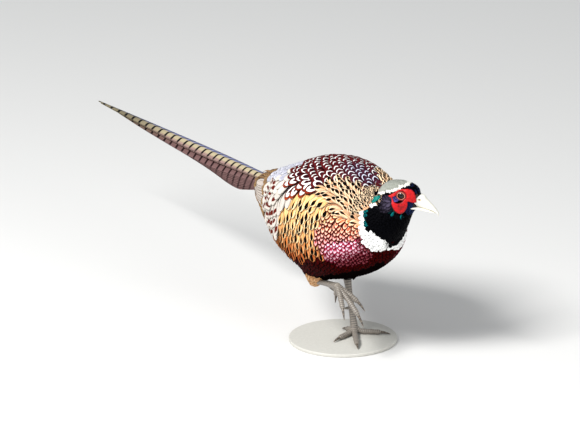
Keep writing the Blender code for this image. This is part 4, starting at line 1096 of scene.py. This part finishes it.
def eyelid(side, name, material):
    """A ring of lid: its section carried round an oval 0.9 as high as it is long, with fine folds across it."""
    count = 96
    section = spline(np.vstack((LID_SECTION, LID_SECTION[:1])), 56)[:-1]
    angle = np.linspace(0, 2 * np.pi, count, endpoint=False)
    far, out, pale = (section[:, k : k + 1] for k in range(3))
    reach = far * 0.001 * (1 + 0.012 * np.sin(24 * angle) * (far > 4.4))
    slant = -0.075 * reach * np.sin(angle) - 0.05 * reach * np.cos(angle)
    places = stacked(EYE[0] + reach * np.cos(angle), side * (EYE[1] + out * 0.001 + slant),
                     EYE[2] + 0.9 * reach * np.sin(angle))
    pale = np.broadcast_to(pale, reach.shape)
    head_piece(f"eyelid_{name}", from_head(places), net_faces(len(section), count, True), side, material,
               {"pale": pale.ravel()}, "wattle_skin")


def eyeball(side, name, material):
    """A ball with a fuller cornea: radius R(1 + 0.03 exp(-(a/28 deg)^2)) at the angle a from its gaze."""
    rows, count = 48, 64
    away = np.linspace(0, np.pi, rows + 2)[1:-1, None]
    angle = np.linspace(0, 2 * np.pi, count, endpoint=False)
    radius = EYE_RADIUS * (1 + 0.03 * np.exp(-((away / math.radians(28)) ** 2)))
    wide = radius * np.sin(away)
    places = stacked(EYE[0] + wide * np.cos(angle), side * (EYE[1] + radius * np.cos(away)),
                     EYE[2] + wide * np.sin(angle))
    attributes = {"away": np.repeat(away / np.pi, count)}
    head_piece(f"eyeball_{name}", from_head(places), tube_faces(rows, count), side, material, attributes, "eye",
               f"eye_{name}")


def face():
    red = tinted("face_skin", "fold_shade", ((0.0, (40, 0, 6)), (0.30, (112, 0, 8)), (0.60, (186, 2, 10)),
                                         (0.90, (218, 14, 18))), 0.5, Specular_IOR_Level=0.3)
    lid = tinted("eyelid", "pale", ((0.10, (10, 5, 7)), (0.42, (120, 10, 16)), (0.80, (206, 112, 84)),
                                    (1.0, (240, 178, 140))), 0.4)
    eye = tinted("eye_ball", "away", ((0.085, (2, 2, 4)), (0.10, (18, 9, 8)), (0.19, (34, 16, 10)),
                                      (0.23, (6, 4, 4))), 0.06, grain_scale=5000.0, bump_strength=0.0,
                 Coat_Weight=0.25, Coat_Roughness=0.02, Specular_IOR_Level=0.3)
    for side, name in ((1, "left"), (-1, "right")):
        face_skin(side, name, red)
        eyelid(side, name, lid)
        eyeball(side, name, eye)


# The bill's halves: along the head, lower edge, upper edge and half width.
BILL_UPPER = (
    (0.0190, -0.0085, 0.0062, 0.0092), (0.0233, -0.0086, 0.0078, 0.0078), (0.0275, -0.0086, 0.0074, 0.0066),
    (0.0320, -0.0084, 0.0044, 0.0058), (0.0370, -0.0082, 0.0016, 0.0050), (0.0424, -0.0080, -0.0014, 0.0040),
    (0.0475, -0.0090, -0.0050, 0.0028), (0.0508, -0.0108, -0.0080, 0.0017), (0.0522, -0.0130, -0.0114, 0.0006),
)
BILL_LOWER = (
    (0.0165, -0.0126, -0.0108, 0.0110), (0.0200, -0.0128, -0.0092, 0.0099), (0.0240, -0.0124, -0.0085, 0.0080),
    (0.0300, -0.0118, -0.0082, 0.0060), (0.0380, -0.0110, -0.0080, 0.0045), (0.0440, -0.0100, -0.0086, 0.0028),
    (0.0475, -0.0096, -0.0090, 0.0010),
)


def bill():
    """Each half a loft of |y/h|^2.3 + |z/r|^2.3 = 1, the upper with a swollen lid over a slit nostril."""
    ivory = tinted("bill_horn", "hollow_and_shade", ((0.0, (240, 238, 228)), (0.35, (222, 210, 184)),
                                           (0.7, (120, 100, 80)), (1.0, (24, 18, 16))), 0.32)
    rows, sides = 72, 56
    across, rise = oval(np.linspace(0, 2 * np.pi, sides, endpoint=False), 2.3)
    faces = [group[:, ::-1] for group in tube_faces(rows, sides)]
    for name, table in (("upper", BILL_UPPER), ("lower", BILL_LOWER)):
        ahead, low, high, half = (spline(table, rows)[:, k : k + 1] for k in range(4))
        places = stacked(ahead, half * across, (low + high) / 2 + (high - low) / 2 * rise)
        ahead, left, up = np.moveaxis(places, -1, 0)
        hollow_and_shade = np.zeros(left.shape)
        if name == "upper":
            lid = np.exp(-((ahead - 0.0256) ** 2 + (up - 0.0048) ** 2) / 0.0028**2)
            # Painted shade: the nostril's hollow is dented in and also painted nearly black.
            hollow_and_shade = np.exp(-(((ahead - 0.0236) / 0.0019) ** 2 + ((up - 0.0024) / 0.0011) ** 2))
            left = left + np.sign(left) * (0.0006 * lid - 0.0009 * hollow_and_shade)
        # Fine growth lines 1.6 mm apart, and a slightly darker band along each half's lower edge.
        growth_and_lower_edge = 0.05 * np.sin(ahead * 2 * np.pi / 0.0016) + 0.10 * (up < low + 0.0006)
        head_piece(f"bill_{name}_horn", from_head(np.stack((ahead, left, up), axis=-1)), faces, 1, ivory,
                   {"hollow_and_shade": (hollow_and_shade + growth_and_lower_edge + 0.06).ravel()}, "bill_horn", f"bill_{name}")


def ear_tufts():
    """Two tufts of glossy feathers behind the cheeks, fanned back and a little out from one place each."""
    stations = 9
    shape = np.interp(np.linspace(0, 1, stations), (0, 0.4, 0.8, 1), (0.4, 1, 0.7, 0.1))
    vanes = []
    for side in (1, -1):
        across = np.broadcast_to(head_way((0.0, side * 0.3, 1.0)), (stations, 3))
        for step in DRAW.uniform(-1, 1, (22, 3)):
            root = np.array((-0.0235, side * 0.0118, -0.0100)) + 0.0010 * step * (1, 0.4, 1.6)
            tip = root + (-0.0075, side * (0.0012 + 0.0012 * step[1]), -0.0070 + 0.0022 * step[2])
            middle = 0.5 * (root + tip) + (0, side * 0.0010, 0.0008)
            vanes.append((from_head(spline((root, middle, tip), stations)), across, 0.0022 * shape))
    long_vanes("ear_tufts", vanes, 0.1, 5, 0.3, EAR_VANE, "head_plumage", thick=0.00015)


# Legs: places of the ankles, thicknesses, and each toe's turn in degrees, length and number of plates.
LEFT_ANKLE = np.array((-0.002, 0.018, 0.0085))
RIGHT_ANKLE = np.array((0.052, -0.042, 0.089))
TARSUS_RADIUS = 0.0042
TARSUS_SWELL = np.array((1.28, 1.15, 0.96, 0.88, 0.86, 0.88, 0.92, 1.02, 1.2))
TOE_RADIUS = 0.0036
TOE_SWELL = np.array((1.15, 1.05, 0.90, 1.02, 0.84, 0.95, 0.82, 0.90, 0.60))
SPUR_TAPER = (0.0022, 0.0018, 0.0012, 0.0002)
CLAW_RADIUS = 0.0019
CLAW_LENGTH = 0.012
LEFT_TOES = (
    ("middle", -29, 0.050, 18), ("inner", -69, 0.032, 12), ("outer", 50, 0.034, 13), ("hind", 191, 0.014, 5),
)
RIGHT_TOES = (
    ("middle", 8, 0.048, 18), ("inner", 30, 0.032, 12), ("outer", -16, 0.034, 13), ("hind", 176, 0.014, 5),
)


def circle(side, over, angle):
    """Ways round a path, by place and angle."""
    return side[:, None] * np.cos(angle)[:, None] + over[:, None] * np.sin(angle)[:, None]


def merged_faces(parts, faces):
    """The faces of several parts, numbered on from part to part."""
    starts = np.cumsum([0, *(len(points) for points in parts)])
    return [group + start for groups, start in zip(faces, starts) for group in groups]


def scaled_limb(path, radius, front, plates, rows, sides=32, depth=0.0004):
    """P(s,a) = path(s) + r(s,a)(cos a side + sin a front), with plates in front and small scales behind.

    A plate lifts as the part of s plates past a whole number and drops at its edge. Scales multiply two sines.
    """
    path = spline(path, rows)
    share = np.linspace(0, 1, rows)[:, None]
    along = unit(np.gradient(path, axis=0))
    side = unit(np.cross(along, front))
    over = np.cross(side, along)
    angle = np.linspace(0, 2 * np.pi, sides, endpoint=False)
    phase = share * plates % 1
    plate = phase**0.8 * np.clip((1 - phase) / 0.10, 0, 1)
    before = ramp(np.sin(angle), 0.05, 0.45)
    turn = share * plates * 1.7 * np.pi
    scale = np.abs(np.sin(turn + 6 * angle) * np.sin(turn - 6 * angle)) * (1 - before)
    wide = np.interp(share[:, 0], np.linspace(0, 1, len(radius)), radius)[:, None]
    wide = wide * np.clip(1 - (np.abs(2 * share - 1) ** 40), 0.05, 1) ** 0.5
    reach = (wide + depth * (plate * before + 0.45 * scale))[..., None]
    points = path[:, None] + reach * circle(side, over, angle)
    return points.reshape(-1, 3), tube_faces(rows, sides), (0.15 + 0.75 * (plate * before + scale)).ravel()


def joined(name, parts, material, slot, *nodes):
    """Several closed limbs as one piece that stands for the given nodes."""
    points, faces, edge = zip(*parts)
    groups = merged_faces(points, faces)
    head_piece(name, np.concatenate(points), groups, 1, material, {"edge": np.concatenate(edge)}, slot, *nodes)


def toe_path(ankle, turn, length, fall, floor):
    """A toe's middle line: level on the ground, or hanging by fall; then its claw's line, bent down."""
    ahead = np.array((math.cos(turn) * math.cos(fall), math.sin(turn), -math.cos(turn) * math.sin(fall)))
    share = np.linspace(0, 1, 7)
    path = ankle + share[:, None] * length * ahead
    if floor:
        rest = TOE_RADIUS * 0.86
        path[:, 2] = rest + (ankle[2] - rest) * np.clip(1 - share * length / 0.012, 0, 1) ** 2
    else:
        path[:, 2] -= 0.16 * length * (share**2 - share)
    tip = unit(path[-1] - path[-2])
    claw = path[-1] - 0.0012 * tip + share[:, None] * CLAW_LENGTH * (0.75 if length < 0.02 else 1.1) * tip
    claw[:, 2] -= (min(path[-1][2] - 0.0009, 0.003) if floor else 0.004) * share**2
    return raised(path), raised(claw)


def legs():
    """Scaled shanks with spurs, toes and claws, the left foot on the ground and the right one lifted."""
    scale = tinted("leg_scale", "edge", ((0.0, (38, 34, 34)), (0.25, (86, 80, 78)), (0.6, (132, 124, 114)),
                                         (0.95, (164, 156, 142))), 0.42)
    horn = tinted("claw_horn", "edge", ((0.0, (30, 26, 24)), (0.3, (62, 54, 48)), (0.6, (96, 86, 76)),
                                        (0.95, (140, 128, 112))), 0.3)
    taper = CLAW_RADIUS * (1 - np.linspace(0, 1, 9)) ** 0.6 + 0.0001
    for name, hock, ankle, toes, floor, inner in (("left", LEFT_HOCK, LEFT_ANKLE, LEFT_TOES, True, -1),
                                                  ("right", RIGHT_HOCK, RIGHT_ANKLE, RIGHT_TOES, False, 1)):
        shank = unit(ankle - hock)
        front = np.cross((0.0, 1.0, 0.0), shank)
        front = front * (1 if front[0] + front[2] > 0 else -1)
        path = raised((hock - 0.004 * shank, 0.5 * (hock + ankle), ankle + 0.001 * shank))
        parts = [scaled_limb(path, TARSUS_RADIUS * TARSUS_SWELL, front, 22, 220, 40)]
        spur = hock + (ankle - hock) * 0.62 - front * 0.002
        spur = spur + np.linspace(0, 1, 4)[:, None] * (np.array((0, inner * 0.007, 0)) - front * 0.009)
        parts.append(scaled_limb(raised(spur), SPUR_TAPER, (0.0, 0.0, 1.0), 9, 30, 20, 0.0001))
        for toe, turn, length, plates in toes:
            fall = math.radians(38 if toe != "hind" else -68) * (not floor)
            path, claw = toe_path(ankle, math.radians(turn), length, fall, floor)
            over = (0.0, 0.0, 1.0) if floor else np.cross((0.0, 1.0, 0.0), unit(path[-2] - path[-1]))
            over = np.array(over) * (1 if over[2] > 0 else -1)
            parts.append(scaled_limb(path, TOE_RADIUS * TOE_SWELL, over, plates, plates * 8, 28, 0.00030))
            claw_part = scaled_limb(claw, taper, over, 3, 30, 20, 0.00004)
            joined(f"claw_{name}_{toe}_horn", [claw_part], horn, "claw_horn", f"claw_{name}_{toe}")
        joined(f"leg_{name}_scales", parts, scale, "leg_scale", f"tarsus_{name}", f"foot_{name}")


def base_finish():
    """The base stays the solid itself, with a finely grained paint."""
    paint, shader = plain("base_paint", linear(196, 194, 186), 0.6)
    grain = noise(object_place(shader.id_data), 260.0, 6.0)
    join(blend(grain, linear(206, 204, 196), linear(188, 186, 178)), shader.inputs["Base Color"])
    bump(shader, grain, 0.15, 0.0003)
    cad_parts["stand_base"].data.materials.clear()
    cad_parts["stand_base"].data.materials.append(paint)


TAIL_PAIRS = 9
TAIL_STEP = 0.89
TAIL_SHAPE = (0.5, 0.85, 1.0, 0.9, 0.68, 0.42, 0.10)


def tail_level(x):
    """The tail's height at x, which slopes evenly down from the rump to the tip."""
    return GROUND + TAIL_ROOT_Z + (TAIL_TIP_Z - TAIL_ROOT_Z) * (x - TAIL_ROOT_X) / (TAIL_TIP_X - TAIL_ROOT_X)


def tail():
    """Nine pairs of graded tail feathers: the middle pair flat on top, the others a low roof under them."""
    stations = 41
    share = np.linspace(0, 1, stations)
    shape = spline(np.array(TAIL_SHAPE)[:, None], stations)[:, 0]
    roof = math.radians(25)
    middle, sides = [], []
    for side in (1, -1):
        x = TAIL_ROOT_X + 0.010 + ((TAIL_TIP_X - TAIL_ROOT_X) * (1.0 if side > 0 else 0.985) - 0.010) * share
        path = stacked(x, AXIS_Y, tail_level(x) + (0.0048 if side > 0 else 0.0036))
        middle.append((path, np.broadcast_to((0.0, 1.0, 0.0), path.shape), 0.025 * shape))
    for rank in range(1, TAIL_PAIRS):
        for side in (1, -1):
            reach = (TAIL_TIP_X - TAIL_ROOT_X) * TAIL_STEP**rank * (1.0 if side > 0 else 0.985)
            x = TAIL_ROOT_X + 0.010 + (reach - 0.010) * share
            half = 0.5 * 0.019 * shape
            out = side * (0.0003 + half * math.cos(roof) + 0.0006 * (rank - 1))
            drop = (half * math.sin(roof) + 0.0014 * (rank - 1)) * (0.4 + 0.6 * ramp(share, 0, 0.3))
            path = np.stack((x, AXIS_Y + out, tail_level(x) + 0.0020 - drop), axis=1)
            across = np.broadcast_to((0.0, math.cos(roof), -side * math.sin(roof)), path.shape)
            sides.append((path, across, 2 * half))
    piece = long_vanes("tail_feathers_middle", middle, 0.12, 9, 0.06, TAIL_VANE, "tail_plumage", (0.05, 0.94))
    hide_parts("tail")
    long_vanes("tail_feathers_side", sides, 0.032, 9, 0.06, SIDE_VANE, "tail_plumage", (0.05, 0.94))


# Rows of tail coverts: how many, and the x of their roots and tips.
COVERT_ROWS = ((60, -0.112, -0.140), (64, -0.124, -0.150), (64, -0.134, -0.158))


def tail_coverts():
    """Narrow hair-like coverts that lie back from the rump onto the tail."""
    stations, vanes = 9, []
    shape = np.interp(np.linspace(0, 1, stations), (0, 0.3, 0.7, 1), (0.4, 1, 0.8, 0.08))
    for row, (count, start_x, tip_x) in enumerate(COVERT_ROWS):
        low, high, half = loft_at(TRUNK_TABLE, start_x)
        for step in range(count):
            turn = 2 * np.pi * (step + 0.5 * row + DRAW.uniform(-0.4, 0.4)) / count
            ring = np.array((0, math.cos(turn), math.sin(turn)))
            root = np.array((start_x, AXIS_Y, (low + high) / 2)) + 0.97 * ring * (0, half, (high - low) / 2)
            x = start_x + (tip_x - start_x) * (0.9 + 0.1 * ring[2]) * (1 + 0.25 * DRAW.uniform(-1, 1))
            tip = np.array((x, AXIS_Y, tail_level(x) - 0.003)) + ring * (0, 0.0190, 0.0115)
            tip[1:] += DRAW.uniform(-0.0024, 0.0024, 2)
            across = np.broadcast_to((0.0, -ring[2], ring[1]), (stations, 3))
            middle = 0.5 * (root + tip) + 0.0030 * ring
            vanes.append((spline((root, middle, tip), stations), across, 0.0042 * shape))
    long_vanes("tail_coverts", vanes, 0.08, 5, 0.30, COVERT_VANE, "tail_plumage", rows=3)


# Rows of wing quills: the first and last root, then the first and last tip, each as x and degrees up the flank.
# Then the rise at the tip, the width and the number.
WING_ROWS = (
    ((-0.086, 0), (-0.098, 12), (-0.142, 1), (-0.150, 12), 0.0006, 0.010, 6),
    ((-0.096, 10), (-0.104, 40), (-0.136, 6), (-0.146, 32), 0.0010, 0.011, 7),
)


def wings():
    """The folded wing's long feathers: from root to tip in x and degrees up the flank, settled on the form."""
    share = np.linspace(0, 1, 17)
    shape = np.interp(share, (0, 0.1, 0.5, 0.8, 0.93, 1), (0.35, 0.8, 1, 0.92, 0.62, 0.12))
    for name, side in (("left", 1), ("right", -1)):
        vanes = []
        for *ends, rise, width, count in WING_ROWS:
            first_root, last_root, first_tip, last_tip = np.array(ends)
            for step in np.linspace(0, 1, count):
                start, end = (a + (b - a) * step for a, b in ((first_root, last_root), (first_tip, last_tip)))
                x, up = (start + (end - start) * share[:, None]).T
                up = np.radians(up)
                low, high, half = loft_at(TRUNK_TABLE, x)
                y, z = AXIS_Y + side * half * np.cos(up), (low + high) / 2 + (high - low) / 2 * np.sin(up)
                height = rise * share**2 + 0.0012 - 0.004 * (1 - share) + 0.0002 * step
                place, normal = settle(np.stack((x, y, z), axis=1), height)
                along = np.gradient(place, axis=0)
                across = np.cross(normal, along) + 0.08 * normal * np.linalg.norm(along, axis=1)[:, None]
                vanes.append((place, across, width * shape))
        long_vanes(f"wing_quills_{name}", vanes, 0.02, 7, 0.08, WING_VANE, "wing_plumage", (0.03, 0.94))


def skin():
    """The bird's skin: lofts of trunk, neck, head and thighs merged in one net and settled under the plumage."""
    turn = np.linspace(0, 2 * np.pi, 40, endpoint=False)
    across, rise = oval(turn, OVAL)
    shapes = []
    for table in (TRUNK_TABLE, HEAD_TABLE):
        x, low, high, half = (table[:, k : k + 1] for k in range(4))
        shapes.append(stacked(x, half * across, (low + high) / 2 + (high - low) / 2 * rise))
    shapes = [shapes[0] + (0, AXIS_Y, 0), from_head(shapes[1])]
    for rows in (NECK_TABLE, *THIGHS):
        way = unit(np.gradient(rows[:, :3], axis=0))
        side = unit(np.cross(way, (0.0, 1.0, 0.0)))
        shapes.append(rows[:, None, :3] + rows[:, None, 3:] * circle(side, np.cross(way, side), turn))
    material, shader = plain("skin_under_feathers", (0.2, 0.1, 0.08), 0.8)
    join(attribute(shader.id_data, "ground", "Color"), shader.inputs["Base Color"])
    parts = [rings.reshape(-1, 3) for rings in shapes]
    faces = merged_faces(parts, [tube_faces(*rings.shape[:2]) for rings in shapes])
    rough = mesh_piece("rough_skin", np.concatenate(parts), faces, material)
    net = rough.modifiers.new("net", "REMESH")
    net.mode = "VOXEL"
    net.voxel_size = SKIN_GRID
    merged = rough.evaluated_get(bpy.context.evaluated_depsgraph_get()).to_mesh()
    points = np.empty(len(merged.vertices) * 3, np.float32)
    merged.vertices.foreach_get("co", points)
    corners = np.empty(len(merged.loops), np.int32)
    merged.loops.foreach_get("vertex_index", corners)
    bpy.data.objects.remove(rough)
    points = points.reshape(-1, 3).astype(float)
    share = form(points)[1]
    points, _ = settle(points, -(share * COAT_DEPTH).sum(1), steps=3)
    up = trunk_angle(points)[0]
    still = np.zeros(len(points))
    kind = trunk_kind(points, up, still)
    on_neck = share[:, 1:3].sum(1) > 0.5
    kind[on_neck] = neck_kind(points[on_neck], still[on_neck])
    # Painted shade: the skin that shows between feathers is 0.6 as bright as their ground colour, except under the
    # white collar.
    shade = np.where(is_kind(kind, "collar"), 1, 0.6)[:, None]
    ground = trunk_looks(kind, points[:, 0], up, still)["ground"] * shade
    piece = mesh_piece("skin", points, corners.reshape(-1, 4), material, {"ground": ground})
    placed(piece, "body_plumage", "torso", "neck", "head", "thigh_left", "thigh_right", "wing_left", "wing_right")


def direction(way):
    """The turn that points an object's -Z along way with its top up."""
    return mathutils.Vector(way).to_track_quat("-Z", "Y").to_euler()


LENS = 1000
SENSOR = 36
VIEW_ACROSS = 0.725
VIEW_MIDDLE = np.array((-0.080, -0.027, 0.152))
VIEW_AZIMUTH = math.radians(57)
VIEW_ELEVATION = math.radians(19)


def studio():
    """A plain pale floor, soft lights and a distant camera at the photograph's angle."""
    corners = [(x, y, -0.0002) for x, y in ((-40, -40), (40, -40), (40, 40), (-40, 40))]
    pale = plain("pale_floor", (0.74, 0.73, 0.71), 0.9)[0]
    floor = mesh_piece("floor", corners, np.array([(0, 1, 2, 3)]), pale, smooth=False)
    world = bpy.data.worlds.new("studio")
    world.use_nodes = True
    world.node_tree.nodes["Background"].inputs[0].default_value = (0.90, 0.95, 1.0, 1)
    world.node_tree.nodes["Background"].inputs[1].default_value = 0.42
    bpy.context.scene.world = world
    for name, place, size, power in (("key", (0.4, -2.0, 2.2), 0.9, 118), ("fill", (2.6, 0.4, 1.4), 1.6, 26)):
        lamp = bpy.data.lights.new(name, "AREA")
        lamp.size = size
        lamp.energy = power
        thing = bpy.data.objects.new(name, lamp)
        thing.location = place
        thing.rotation_euler = direction(np.array((-0.02, -0.01, 0.15)) - place)
        bpy.context.scene.collection.objects.link(thing)
    level, rise = math.cos(VIEW_ELEVATION), math.sin(VIEW_ELEVATION)
    toward = np.array((math.sin(VIEW_AZIMUTH) * level, -math.cos(VIEW_AZIMUTH) * level, rise))
    camera = bpy.data.cameras.new("camera")
    camera.lens = LENS
    camera.clip_end = 200
    seat = bpy.data.objects.new("camera", camera)
    seat.location = VIEW_MIDDLE + toward * VIEW_ACROSS * LENS / SENSOR
    seat.rotation_euler = direction(-toward)
    bpy.context.scene.collection.objects.link(seat)
    bpy.context.scene.camera = seat
    bpy.context.scene.view_settings.view_transform = "Standard"


skin()
trunk_coat()
neck_coat()
head_coat()
face()
bill()
ear_tufts()
legs()
base_finish()
tail()
tail_coverts()
wings()
studio()
